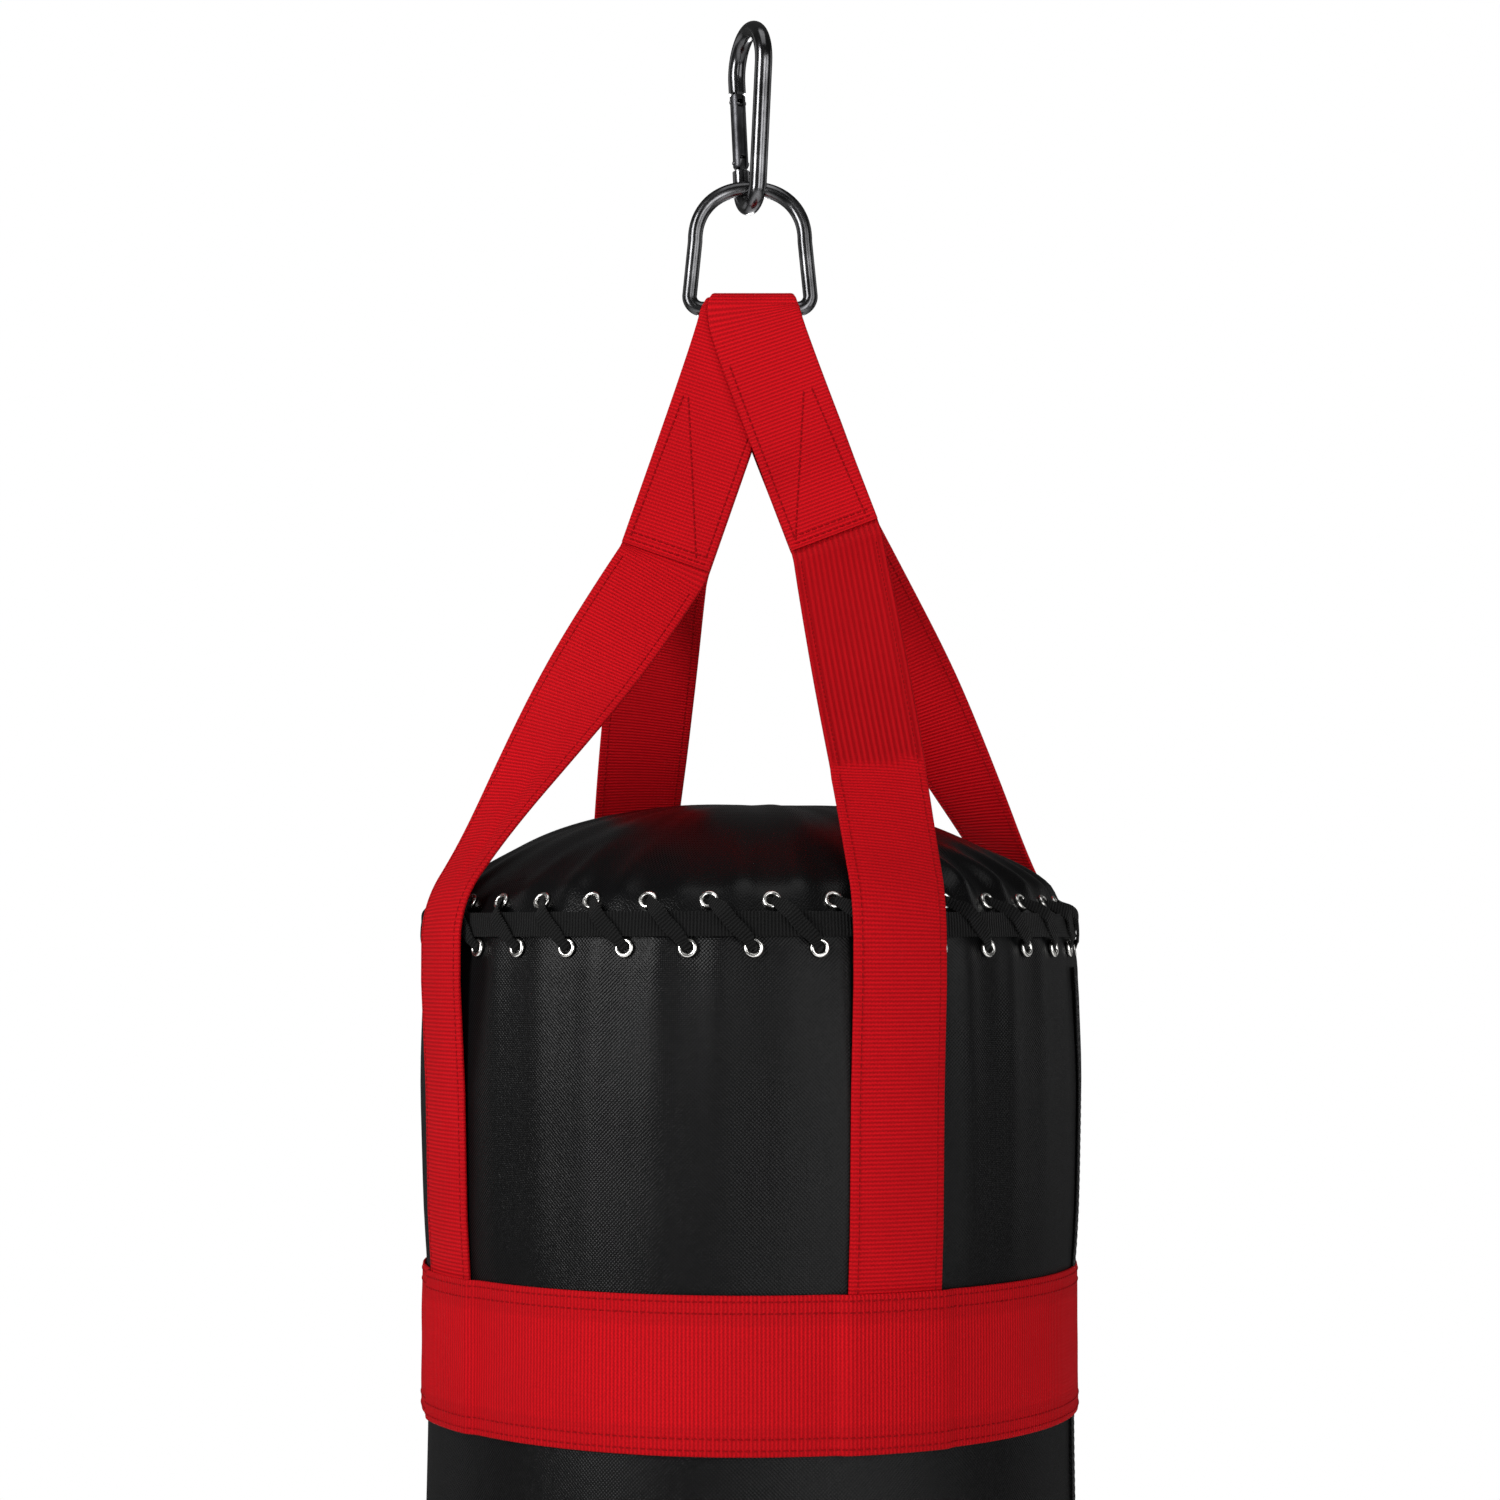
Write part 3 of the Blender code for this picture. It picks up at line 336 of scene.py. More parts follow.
def thread_finish(settings):
    """Sewing thread a little darker than the webbing."""
    finish = Finish(THREAD_NAME, {"Specular IOR Level": 0.05})
    twist = finish.cloud(TWIST_SCALE, 1.0)
    tint = finish.blend(twist, scaled(settings.colour, 0.30), scaled(settings.colour, 0.66))
    return finish.finished(tint, 0.55 + twist * 0.15, twist * TWIST_DEPTH)


def black_thread_finish():
    """Sewing thread of the vinyl's seams."""
    finish = Finish("black_sewing_thread", {"Sheen Weight": 0.15})
    twist = finish.cloud(TWIST_SCALE, 1.0)
    tint = finish.blend(twist, (0.010, 0.010, 0.010), (0.030, 0.030, 0.031))
    return finish.finished(tint, 0.6 + twist * 0.2, twist * TWIST_DEPTH)


def vinyl_finish(name, settings, gloss, emboss_depth):
    """Coated vinyl with a fine embossed grain, soft wrinkles and scuffs; the grain's hollows carry painted
    shade.
    """
    finish = Finish(name, {"Specular IOR Level": 0.14})
    x, y, z = finish.split(finish.place())
    azimuth = x.math("ARCTAN2", y)
    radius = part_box("body_skin")[1].x
    around = round(math.tau * radius / settings.grain_pitch)
    across = azimuth.wave(around / math.tau)
    along = z.wave(1.0 / settings.grain_pitch)
    emboss = across * along + (1.0 - across) * (1.0 - along)
    leather = finish.add("ShaderNodeTexVoronoi", {"feature": "DISTANCE_TO_EDGE"},
                         {"Vector": finish.place(), "Scale": 520.0}, output="Distance")
    leather = leather.above(0.0, 0.18)
    scuffs = finish.cloud(7.0, 5.0)
    rub = finish.cloud(30.0, 4.0, finish.stretched(finish.place(), (1.0, 1.0, 0.3)))
    base = settings.vinyl_colour
    tint = finish.blend(scuffs.above(0.45, 0.8) * 0.6, base, scaled(base, 2.0))
    # painted shade: the hollows of the embossed grain are painted darker
    tint = finish.blend((1.0 - emboss) * 0.7, tint, scaled(base, 0.25))
    roughness = gloss + rub * 0.10 + (1.0 - emboss) * 0.14
    height = emboss * emboss_depth + leather * 0.00003 + rub * 0.0006
    return finish.finished(tint, roughness, height)


def braid_finish(name, pitch, colour, depth):
    """Matte woven tape or lace, with painted shade in the grooves between its ribs."""
    finish = Finish(name, {"Sheen Weight": 0.03, "Sheen Roughness": 0.5, "Specular IOR Level": 0.08})
    u, v, _ = finish.split(finish.attribute("strip"))
    ribs, height = ribbed_height(u, v, pitch, depth)
    fuzz = finish.cloud(1800.0, 2.0)
    # partly random fuzz, partly painted shade: the grooves between ribs are painted darker, the crests
    # lighter
    tint = finish.blend(ribs * 0.7 + fuzz * 0.4, scaled(colour, 0.05), scaled(colour, 1.6))
    return finish.finished(tint, 0.78 + fuzz * 0.15, height + fuzz * 0.0001)


def foam_finish():
    """Open-celled grey foam, slightly yellowed in places, with painted shade in its pores."""
    finish = Finish("grey_foam", {"Specular IOR Level": 0.2})
    places = {"Vector": finish.place(), "Scale": 700.0}
    cells = finish.add("ShaderNodeTexVoronoi", None, places, output="Distance")
    age = finish.cloud(12.0, 4.0)
    # painted shade: the pits of the cells are painted darker
    tint = finish.blend(cells.above(0.0, 0.5), (0.13, 0.13, 0.14), (0.34, 0.35, 0.37))
    tint = finish.blend(age * 0.4, tint, (0.30, 0.28, 0.22))
    return finish.finished(tint, 0.9 + age * 0.08, cells * 0.0006)


def textile_finish():
    """Shreds of mixed cloth, packed tight."""
    finish = Finish("packed_textile_shreds", {"Sheen Weight": 0.3})
    places = {"Vector": finish.place(), "Scale": 55.0}
    shreds = finish.add("ShaderNodeTexVoronoi", None, places, output="Color")
    relief = finish.cloud(80.0, 5.0)
    grey, warm, _ = finish.split(shreds)
    tint = finish.blend(grey, (0.12, 0.13, 0.17), (0.46, 0.44, 0.41))
    tint = finish.blend(warm * 0.5, tint, (0.30, 0.20, 0.15))
    return finish.finished(tint, 0.88 + relief * 0.1, relief * 0.004)


def floor_finish(colour):
    """Matte pale floor."""
    finish = Finish("pale_floor", {"Specular IOR Level": 0.25})
    grain = finish.cloud(3.0, 5.0)
    tint = finish.blend(grain * 0.3, colour, scaled(colour, 0.96))
    return finish.finished(tint, 0.7 + grain * 0.1)


# ---------------------------------------------------------------- meshes
def ring_faces(rings, around, closed):
    """Quads between successive rings of vertices; an open run gets a face at each end."""
    faces = []
    for ring in range(rings if closed else rings - 1):
        here, there = ring * around, (ring + 1) % rings * around
        for index in range(around):
            after = (index + 1) % around
            faces.append((here + index, here + after, there + after, there + index))
    if not closed:
        faces.append(tuple(range(around))[::-1])
        faces.append(tuple(range((rings - 1) * around, rings * around)))
    return faces


def mesh_of(name, verts, faces, strip=None, sharp=math.radians(40.0)):
    """Mesh from arrays; strip holds (across, along, reverse) for woven finishes."""
    mesh = bpy.data.meshes.new(name)
    mesh.from_pydata([tuple(map(float, vert)) for vert in verts], [], faces)
    if strip is not None:
        attribute = mesh.attributes.new("strip", "FLOAT_VECTOR", "POINT")
        attribute.data.foreach_set("vector", np.asarray(strip, np.float32).ravel())
    bm = bmesh.new()
    bm.from_mesh(mesh)
    bmesh.ops.recalc_face_normals(bm, faces=bm.faces)
    bm.to_mesh(mesh)
    bm.free()
    mesh.shade_smooth()
    mesh.set_sharp_from_angle(angle=sharp)
    return mesh


def piece(name, mesh, finish, body, slot, *nodes):
    """A shown piece that rides on a body and stands for its CAD nodes."""
    obj = bpy.data.objects.new(name, mesh)
    bpy.context.scene.collection.objects.link(obj)
    mesh.materials.clear()
    mesh.materials.append(finish)
    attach(obj, body)
    if nodes:
        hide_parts(*nodes)
    return obj


def turned_mesh(name, profile, steps, place=None, sharp=math.radians(40.0)):
    """Mesh of a closed (r, z) outline turned round the Z axis, then put in place."""
    bm = bmesh.new()
    corners = [bm.verts.new((r, 0.0, z)) for r, z in profile]
    edges = [bm.edges.new(pair) for pair in zip(corners, corners[1:] + corners[:1])]
    bmesh.ops.spin(bm, geom=corners + edges, axis=UP, cent=(0, 0, 0), angle=math.tau, steps=steps,
                   use_merge=True, use_duplicate=False)
    bmesh.ops.remove_doubles(bm, verts=bm.verts, dist=1e-7)
    loose = [face for face in bm.faces if face.calc_area() < 1e-14]
    bmesh.ops.delete(bm, geom=loose, context="FACES_ONLY")
    if place is not None:
        bmesh.ops.transform(bm, matrix=place, verts=bm.verts)
    bmesh.ops.recalc_face_normals(bm, faces=bm.faces)
    mesh = bpy.data.meshes.new(name)
    bm.to_mesh(mesh)
    bm.free()
    mesh.shade_smooth()
    mesh.set_sharp_from_angle(angle=sharp)
    return mesh


def frame_at(origin, side, out, up):
    """Matrix whose X, Y and Z axes are the three given directions."""
    return Matrix((
        (side.x, out.x, up.x, origin.x), (side.y, out.y, up.y, origin.y),
        (side.z, out.z, up.z, origin.z), (0.0, 0.0, 0.0, 1.0),
    ))


def bar_mesh(name, points, radius, sides, closed, flat_dir):
    """Round bar along a path in a plane; flat_dir is the plane's normal. Radius may vary."""
    count = len(points)
    radii = radius if hasattr(radius, "__len__") else [radius] * count
    verts = []
    for index, point in enumerate(points):
        before = points[index - 1] if closed or index else point
        after = points[(index + 1) % count] if closed or index < count - 1 else point
        along = (after - before).normalized()
        across = flat_dir.cross(along).normalized()
        for side in range(sides):
            angle = side * math.tau / sides
            verts.append(point + radii[index] * (math.cos(angle) * flat_dir + math.sin(angle) * across))
    return mesh_of(name, verts, ring_faces(count, sides, closed))


def arc(centre, first, second, radius, start, end, steps):
    """Points on an arc in the plane of two unit vectors, ends included."""
    angles = [start + (end - start) * step / steps for step in range(steps + 1)]
    return [centre + radius * (math.cos(angle) * first + math.sin(angle) * second) for angle in angles]


def carved(mesh, cutters, edge=0.00022):
    """Cut meshes out of a mesh, then break the new sharp edges."""
    target = bpy.data.objects.new("carving", mesh)
    bpy.context.scene.collection.objects.link(target)
    tools = []
    for cutter in cutters:
        tool = bpy.data.objects.new("cutter", cutter)
        bpy.context.scene.collection.objects.link(tool)
        tools.append(tool)
        modifier = target.modifiers.new("cut", "BOOLEAN")
        modifier.operation = "DIFFERENCE"
        modifier.solver = "EXACT"
        modifier.object = tool
    bevel = target.modifiers.new("broken_edges", "BEVEL")
    bevel.width = edge
    bevel.segments = 2
    bevel.limit_method = "ANGLE"
    bevel.angle_limit = math.radians(50.0)
    bpy.context.view_layer.update()
    result = bpy.data.meshes.new_from_object(target.evaluated_get(bpy.context.evaluated_depsgraph_get()))
    for obj in [target, *tools]:
        bpy.data.objects.remove(obj, do_unlink=True)
    result.shade_smooth()
    result.set_sharp_from_angle(angle=math.radians(35.0))
    return result


def smoothstep(value):
    """0 up to 0, 1 from 1 on, smooth between them; also for arrays."""
    value = np.clip(value, 0.0, 1.0)
    return value * value * (3 - 2 * value)


def radial(azimuth):
    """Outward direction at an azimuth, which is 0 at the front and grows towards +X."""
    return Vector((math.sin(azimuth), -math.cos(azimuth), 0.0))


def around_dir(azimuth):
    """Direction round the bag at an azimuth."""
    return Vector((math.cos(azimuth), math.sin(azimuth), 0.0))


def ripple(azimuth, seed, rate):
    """Smooth noise round the bag, from about -1 to 1, which meets itself behind."""
    return noise.noise(Vector((math.sin(azimuth) * rate + seed, math.cos(azimuth) * rate, seed * 1.7))) * 2.0


# ---------------------------------------------------------------- carabiner
HOOK_LENGTH = 0.106
HOOK_TOP_R = 0.0205
HOOK_EYE_R = 0.01225
HOOK_YAW = math.radians(21.0)
HOOK_TOP_C = HOOK_WIRE / 2 - HOOK_TOP_R
HOOK_EYE_C = HOOK_WIRE * 1.5 - HOOK_LENGTH + HOOK_EYE_R
HOOK_TAPER = math.asin((HOOK_TOP_R - HOOK_EYE_R) / (HOOK_TOP_C - HOOK_EYE_C))
SPINE_SIDE = radial(HOOK_YAW)
HOOK_NORMAL = SPINE_SIDE.cross(UP)
GATE_DIR = (UP - SPINE_SIDE * math.tan(HOOK_TAPER)).normalized()
GATE_SIDE = HOOK_NORMAL.cross(GATE_DIR).normalized()
TONGUE_T = 0.0030
TONGUE_W = 0.0064
HINGE_TONGUE_W = 0.0056
HINGE_SHOULDER = 0.0050
HINGE_TONGUE_UP = 0.0022
NOSE_TONGUE = 0.0070
FORK_W = TONGUE_T + 2 * GAP
FORK_TOP = 0.0034                 # floor of the lower fork above the hinge pin
FORK_DEPTH_TOP = 0.0078
GATE_BELOW_PIN = 0.0034
LATCH_FROM_TOP = 0.0042
HINGE_PIN_D = 0.0024
LATCH_PIN_D = 0.0022
PIN_HEAD = 0.0006
BORE_D = 0.0046
BORE_DEPTH = 0.0200
SPRING_WIRE = 0.0005
SPRING_D = 0.0030
SPRING_TURNS = 11
PLUNGER_LOW = 0.0029
PLUNGER_D = 0.0038
PLUNGER_L = 0.0055
BAR_SIDES = 40
SPRING_SIDES = 8
SPRING_STEPS = 20                  # for each turn
SPRING_EASE = 0.35                 # share of the coil's rise that slows towards its ends


def gate_line(height):
    """Point on the gate side's centreline at a height."""
    tangent_z = HOOK_TOP_C - HOOK_TOP_R * math.sin(HOOK_TAPER)
    reach = HOOK_TOP_R * math.cos(HOOK_TAPER) - (tangent_z - height) * math.tan(HOOK_TAPER)
    return -SPINE_SIDE * reach + UP * height


HINGE = gate_line(-0.0650)
GATE_TOP = gate_line(-0.0258)
LATCH = GATE_TOP - GATE_DIR * LATCH_FROM_TOP


def block(centre, side, normal, low, high):
    """Box round a centre, square to the gate; side and normal are its widths."""
    verts = []
    for reach in (low, high):
        for sign_side, sign_normal in ((-1, -1), (1, -1), (1, 1), (-1, 1)):
            verts.append(centre + GATE_DIR * reach + GATE_SIDE * side / 2 * sign_side
                         + HOOK_NORMAL * normal / 2 * sign_normal)
    return mesh_of("block", verts, ring_faces(2, 4, closed=False))


def cheeks(base, up, width, depth=HOOK_WIRE * 2):
    """Four blocks that leave a flat tongue of the bar above a base."""
    span = HOOK_WIRE * 2
    cutters = []
    for sign in (-1, 1):
        low, high = sorted((0.0, depth * up))
        cutters.append(block(base + HOOK_NORMAL * sign * (TONGUE_T + span) / 2, span * 2, span, low, high))
        cutters.append(block(base + GATE_SIDE * sign * (width + span) / 2, span, span * 2, low, high))
    return cutters


def rod(centre, radius, half, sides=24):
    """Round cutter across the gate."""
    loops = []
    for reach in (-half, half):
        for side in range(sides):
            angle = side * math.tau / sides
            loops.append(centre + HOOK_NORMAL * reach
                         + radius * (math.cos(angle) * GATE_DIR + math.sin(angle) * GATE_SIDE))
    return mesh_of("rod", loops, ring_faces(2, sides, closed=False))


def hook_path():
    """Centreline from the hinge round both bends to the nose."""
    path = [HINGE + GATE_DIR * HINGE_TONGUE_UP, HINGE - GATE_DIR * HINGE_SHOULDER * 1.5]
    turn = math.pi - HOOK_TAPER
    path += arc(UP * HOOK_EYE_C, -SPINE_SIDE, -UP, HOOK_EYE_R, HOOK_TAPER, turn, 36)
    spine_low = path[-1]
    top = arc(UP * HOOK_TOP_C, SPINE_SIDE, UP, HOOK_TOP_R, -HOOK_TAPER, math.pi + HOOK_TAPER, 48)
    path += [spine_low.lerp(top[0], share / 4) for share in range(1, 4)]
    return path + top + [GATE_TOP + GATE_DIR * GAP * 2, GATE_TOP - GATE_DIR * (NOSE_TONGUE - GAP)]


def pin_profile(radius, half):
    """Rivet with domed heads."""
    height = PIN_HEAD * 0.8
    angles = [step * math.pi / 12 for step in range(7)]
    dome = [(radius * math.cos(angle), half - height + height * math.sin(angle)) for angle in angles]
    return dome + [(r, -z) for r, z in dome[::-1]]


def make_carabiner(settings):
    """Bent frame, sprung gate and the two rivets."""
    steel = steel_finish("carabiner_polished_steel", settings.steel_colour, 0.14, 0.0000012)
    satin = steel_finish("gate_satin_steel", settings.gate_colour, 0.32, 0.000003)
    bar = bar_mesh("bent_bar", hook_path(), settings.hook_wire / 2, BAR_SIDES, False, HOOK_NORMAL)
    nose = GATE_TOP + GATE_DIR * GAP * 2
    notch_half = LATCH_PIN_D / 2 + GAP
    inward = math.copysign(TONGUE_W / 2, SPINE_SIDE.dot(GATE_SIDE))
    cutters = cheeks(HINGE - GATE_DIR * HINGE_SHOULDER, 1, HINGE_TONGUE_W)
    cutters += cheeks(nose, -1, TONGUE_W)
    cutters.append(rod(HINGE, HINGE_PIN_D / 2 + GAP, HOOK_WIRE))
    cutters.append(block(LATCH + GATE_SIDE * inward, TONGUE_W + 2 * notch_half, HOOK_WIRE,
                         -notch_half, notch_half))
    piece("bent_bar", carved(bar, cutters), steel, "carabiner", "carabiner_steel", "carabiner_frame")

    radius = settings.gate_wire / 2
    top = (GATE_TOP - HINGE).length - GAP
    outline = [
        (0.0, -GATE_BELOW_PIN), (0.0027, -GATE_BELOW_PIN), (0.0036, -GATE_BELOW_PIN + 0.0005),
        (radius, -GATE_BELOW_PIN + 0.0017), (radius, top - 0.0004), (radius - 0.0003, top), (0.0, top),
    ]
    to_gate = frame_at(HINGE, GATE_SIDE, HOOK_NORMAL, GATE_DIR)
    barrel = turned_mesh("gate_barrel", outline, BAR_SIDES, to_gate)
    reach = HOOK_WIRE * 2
    bore_low = FORK_TOP - PIN_HEAD
    bore_high = FORK_TOP + BORE_DEPTH
    bore_outline = [(0.0, bore_low), (BORE_D / 2, bore_low), (BORE_D / 2, bore_high), (0.0, bore_high)]
    bore = turned_mesh("bore", bore_outline, 24, to_gate)
    cutters = [
        block(HINGE, reach, FORK_W, -reach, FORK_TOP), block(GATE_TOP, reach, FORK_W, -FORK_DEPTH_TOP, reach),
        bore, rod(HINGE, HINGE_PIN_D / 2 + GAP / 3, reach), rod(LATCH, LATCH_PIN_D / 2 + GAP / 3, reach),
    ]
    piece("gate_barrel", carved(barrel, cutters), satin, "gate", "gate_steel", "carabiner_gate")

    half = radius + PIN_HEAD
    for name, centre, diameter, body, node in (
        ("hinge_rivet", HINGE, HINGE_PIN_D, "carabiner", "gate_hinge_pin"),
        ("latch_rivet", LATCH, LATCH_PIN_D, "gate", "gate_latch_pin"),
    ):
        place = frame_at(centre, GATE_SIDE, -GATE_DIR, HOOK_NORMAL)
        mesh = turned_mesh(name, pin_profile(diameter / 2, half), 24, place)
        piece(name, mesh, steel, body, "carabiner_steel", node)

    tip = PLUNGER_D / 2 * 0.45
    outline = [(0.0, PLUNGER_L), (PLUNGER_D / 2 - GAP, PLUNGER_L), (PLUNGER_D / 2, PLUNGER_L - GAP),
               (PLUNGER_D / 2, tip)]
    outline += [(tip + (PLUNGER_D / 2 - tip) * math.cos(step * math.pi / 8),
                 tip - tip * math.sin(step * math.pi / 8)) for step in range(1, 5)] + [(0.0, 0.0)]
    place = to_gate @ Matrix.Translation((0.0, 0.0, PLUNGER_LOW))
    piece("plunger_turned", turned_mesh("plunger", outline, 24, place), steel, "gate",
          "carabiner_steel", "gate_plunger")

    low = PLUNGER_LOW + PLUNGER_L + SPRING_WIRE / 2 + GAP
    high = FORK_TOP + BORE_DEPTH - SPRING_WIRE / 2 - GAP
    verts = []
    count = SPRING_TURNS * SPRING_STEPS
    for step in range(count + 1):
        share = step / count
        angle = share * SPRING_TURNS * math.tau
        rise = low + (high - low) * float(SPRING_EASE * smoothstep(share) + (1 - SPRING_EASE) * share)
        out = math.cos(angle) * GATE_SIDE + math.sin(angle) * HOOK_NORMAL
        for side in range(SPRING_SIDES):
            turn = side * math.tau / SPRING_SIDES
            verts.append(HINGE + GATE_DIR * (rise + SPRING_WIRE / 2 * math.sin(turn))
                         + out * (SPRING_D / 2 + SPRING_WIRE / 2 * math.cos(turn)))
    coil = mesh_of("spring_coil", verts, ring_faces(count + 1, SPRING_SIDES, False))
    piece("spring_coil", coil, steel, "gate", "carabiner_steel", "gate_spring")


# ---------------------------------------------------------------- D-ring
BAR_Z = next(joint["pos_m"][2] for joint in frame["joints"] if joint["name"] == "bag_swing")
RING_TOP_Z = BAR_Z + 0.0660
RING_ARCH_W = 0.0298
RING_ARCH_H = 0.0290
RING_ARCH_POWER = 2.2
RING_BAR_W = 0.0328
RING_CORNER_R = 0.0070


def ring_path():
    """Centreline: a superelliptic arch, splayed legs and a straight bar."""
    right = Vector((1.0, 0.0, 0.0))
    arch = []
    for step in range(65):
        angle = math.pi * step / 64
        cosine, sine = math.cos(angle), math.sin(angle)
        x = math.copysign(abs(cosine) ** (2 / RING_ARCH_POWER), cosine) * RING_ARCH_W
        z = RING_TOP_Z - RING_ARCH_H + abs(sine) ** (2 / RING_ARCH_POWER) * RING_ARCH_H
        arch.append(Vector((x, 0.0, z)))
    corner_z = BAR_Z + RING_CORNER_R
    reach = RING_BAR_W - RING_CORNER_R
    left = arc(Vector((-reach, 0.0, corner_z)), -right, -UP, RING_CORNER_R, 0.0, math.pi / 2, 14)
    other = arc(Vector((reach, 0.0, corner_z)), -UP, right, RING_CORNER_R, 0.0, math.pi / 2, 14)
    leg_left = [arch[-1].lerp(left[0], share / 6) for share in range(1, 6)]
    leg_right = [other[-1].lerp(arch[0], share / 6) for share in range(1, 6)]
    bar = [left[-1].lerp(other[0], share / 12) for share in range(1, 12)]
    return arch + leg_left + left + bar + other + leg_right


def make_ring(settings):
    """The D-ring."""
    steel = steel_finish("ring_polished_steel", scaled(settings.steel_colour, 0.85), 0.17, 0.0000015)
    mesh = bar_mesh("ring_bar", ring_path(), settings.ring_wire / 2, BAR_SIDES, True, Vector((0, 1, 0)))
    piece("ring_bar", mesh, steel, "ring", "ring_steel", "d_ring")


# ---------------------------------------------------------------- webbing
EDGE_SHARES = (0.0, 0.006, 0.022, 0.05)     # finer steps across at the two selvedges
EDGE_THICKNESS = (0.35, 0.80, 1.0, 1.0)
WOVEN_SHARP = math.radians(70.0)
AHEAD = 0.001                      # how far on a stitch looks for its direction


class Strip:
    """Flat strip along a path; u runs across it and v along it, both in metres.

    lift(u, v) raises the middle of the strip, and reverse(u, v) is 1 where its back shows.
    """

    def __init__(self, points, across, widths, thickness, curves=None, lift=None, reverse=None, columns=14):
        self.points = np.array([tuple(p) for p in points])
        step = np.gradient(self.points, axis=0)
        along = step / np.linalg.norm(step, axis=1)[:, None]
        across = np.array([tuple(a) for a in across])
        across -= along * (across * along).sum(1)[:, None]
        self.across = across / np.linalg.norm(across, axis=1)[:, None]
        self.along = along
        self.normals = np.cross(along, self.across)
        gaps = np.linalg.norm(np.diff(self.points, axis=0), axis=1)
        self.v = np.concatenate([[0.0], np.cumsum(gaps)])
        self.widths = np.array(widths) if hasattr(widths, "__len__") else np.full(len(points), widths)
        self.thickness = thickness
        self.curves = np.zeros(len(points)) if curves is None else np.array(curves)
        self.lift = lift or (lambda u, v: 0.0)
        self.reverse = reverse or (lambda u, v: 0.0)
        self.columns = columns

    @property
    def length(self):
        """Length along the middle of the strip."""
        return float(self.v[-1])

    def _read(self, table, v):
        """A table's value at a place along the strip."""
        if table.ndim == 1:
            return np.interp(v, self.v, table)
        return np.array([np.interp(v, self.v, table[:, axis]) for axis in range(3)])

    def surface(self, u, v, face=1):
        """Point, outward normal and along direction on a face of the strip."""
        normal = self._read(self.normals, v)
        across = self._read(self.across, v)
        curve = self._read(self.curves, v)
        middle = self._read(self.points, v) + across * u - normal * curve * u * u / 2
        out = normal + across * curve * u
        out = out / np.linalg.norm(out) * face
        return middle + normal * self.lift(u, v) + out * self.thickness / 2, out, self._read(self.along, v)

    def mesh(self, name):
        """Closed mesh of the strip, with (u, v, reverse) stored at each vertex."""
        last = EDGE_SHARES[-1]
        shares = list(EDGE_SHARES)
        shares += [last + (1 - 2 * last) * column / self.columns for column in range(1, self.columns)]
        shares += [1 - share for share in EDGE_SHARES[::-1]]
        plain = len(shares) - 2 * len(EDGE_SHARES)
        thick = list(EDGE_THICKNESS) + [1.0] * plain + list(EDGE_THICKNESS[::-1])
        verts = []
        strip = []
        for index, point in enumerate(self.points):
            under = []
            over = []
            places = []
            v = self.v[index]
            for share, fat in zip(shares, thick):
                u = self.widths[index] * (share - 0.5)
                middle = point + self.across[index] * u
                middle = middle + self.normals[index] * (self.lift(u, v) - self.curves[index] * u * u / 2)
                half = self.normals[index] * self.thickness / 2 * fat
                under.append(middle - half)
                over.append(middle + half)
                places.append((u, v, self.reverse(u, v)))
            verts += under + over[::-1]
            strip += places + places[::-1]
        faces = ring_faces(len(self.points), 2 * len(shares), closed=False)
        return mesh_of(name, verts, faces, strip, WOVEN_SHARP)


def stitch_spots(strip, start, end, pitch, face=1):
    """Spots on a strip's face from one (u, v) to another."""
    length = math.dist(start, end)
    count = max(2, round(length / pitch))
    spots = []
    for index in range(count):
        share = (index + 0.5) / count
        u = start[0] + (end[0] - start[0]) * share
        v = start[1] + (end[1] - start[1]) * share
        here, out, _ = strip.surface(u, v, face)
        ahead = strip.surface(u + (end[0] - start[0]) / length * AHEAD,
                              v + (end[1] - start[1]) / length * AHEAD, face)[0]
        spots.append((here, out, (ahead - here) / np.linalg.norm(ahead - here)))
    return spots


def stitch_mesh(name, spots, length, radius=0.00045):
    """Rows of short threads that dip into the fabric at both ends."""
    rings = ((-0.5, 0.5, -0.6), (-0.38, 0.9, 0.1), (0.0, 1.0, 0.2), (0.38, 0.9, 0.1), (0.5, 0.5, -0.6))
    verts = []
    faces = []
    pattern = ring_faces(len(rings), 6, closed=False)
    for here, out, ahead in spots:
        base = len(verts)
        side = np.cross(out, ahead)
        for reach, fat, rise in rings:
            centre = here + ahead * reach * length + out * rise * radius
            for corner in range(6):
                angle = corner * math.tau / 6
                verts.append(centre + radius * fat * (math.cos(angle) * side + math.sin(angle) * out * 0.8))
        faces += [tuple(base + index for index in face) for face in pattern]
    return mesh_of(name, verts, faces)


LOOP_T = 0.0019
LOOP_W_AT_CREST = 0.0415
CREST_REACH = 0.014                # how far below its crest a loop gets back to full width
STRAP_T = 0.0020
STRAP_HALF_GAP = 0.0014
LEG_AT_SEAM = 0.00385
LOOP_SHIFT = 0.0015
SEAM_X = 0.0455
SEAM_Z = {1: low_z("right_hanger_loop") + 0.0098, -1: low_z("left_hanger_loop") + 0.0098}
SEAM_TILT = math.radians(23.0)
LEG_LEAN = 0.08
TILT_SHARE = 0.45                  # share of a leg over which its tilt builds up
OPEN_Z = {1: -0.217, -1: BAR_Z}
CLOSE_Z = {1: -0.245, -1: -0.232}
WRAP_LEFT = RING_WIRE / 2 + GAP * 1.5 + LOOP_T / 2
WRAP_R = {1: WRAP_LEFT + LOOP_T + GAP, -1: WRAP_LEFT}
LEG_STEPS = 44
LEG_STRETCH = 1.06                 # length of a leg along the webbing for its height
LOOP_STITCH_TURNS = {              # across places of the two sloping rows, at their top and bottom
    1: ((0.012, -0.021), (0.0165, 0.0195)),
    -1: ((-0.017, 0.016), (-0.0195, -0.0215)),
}
LOOP_STITCH_APEX = 0.60            # how far up a leg the sloping rows reach
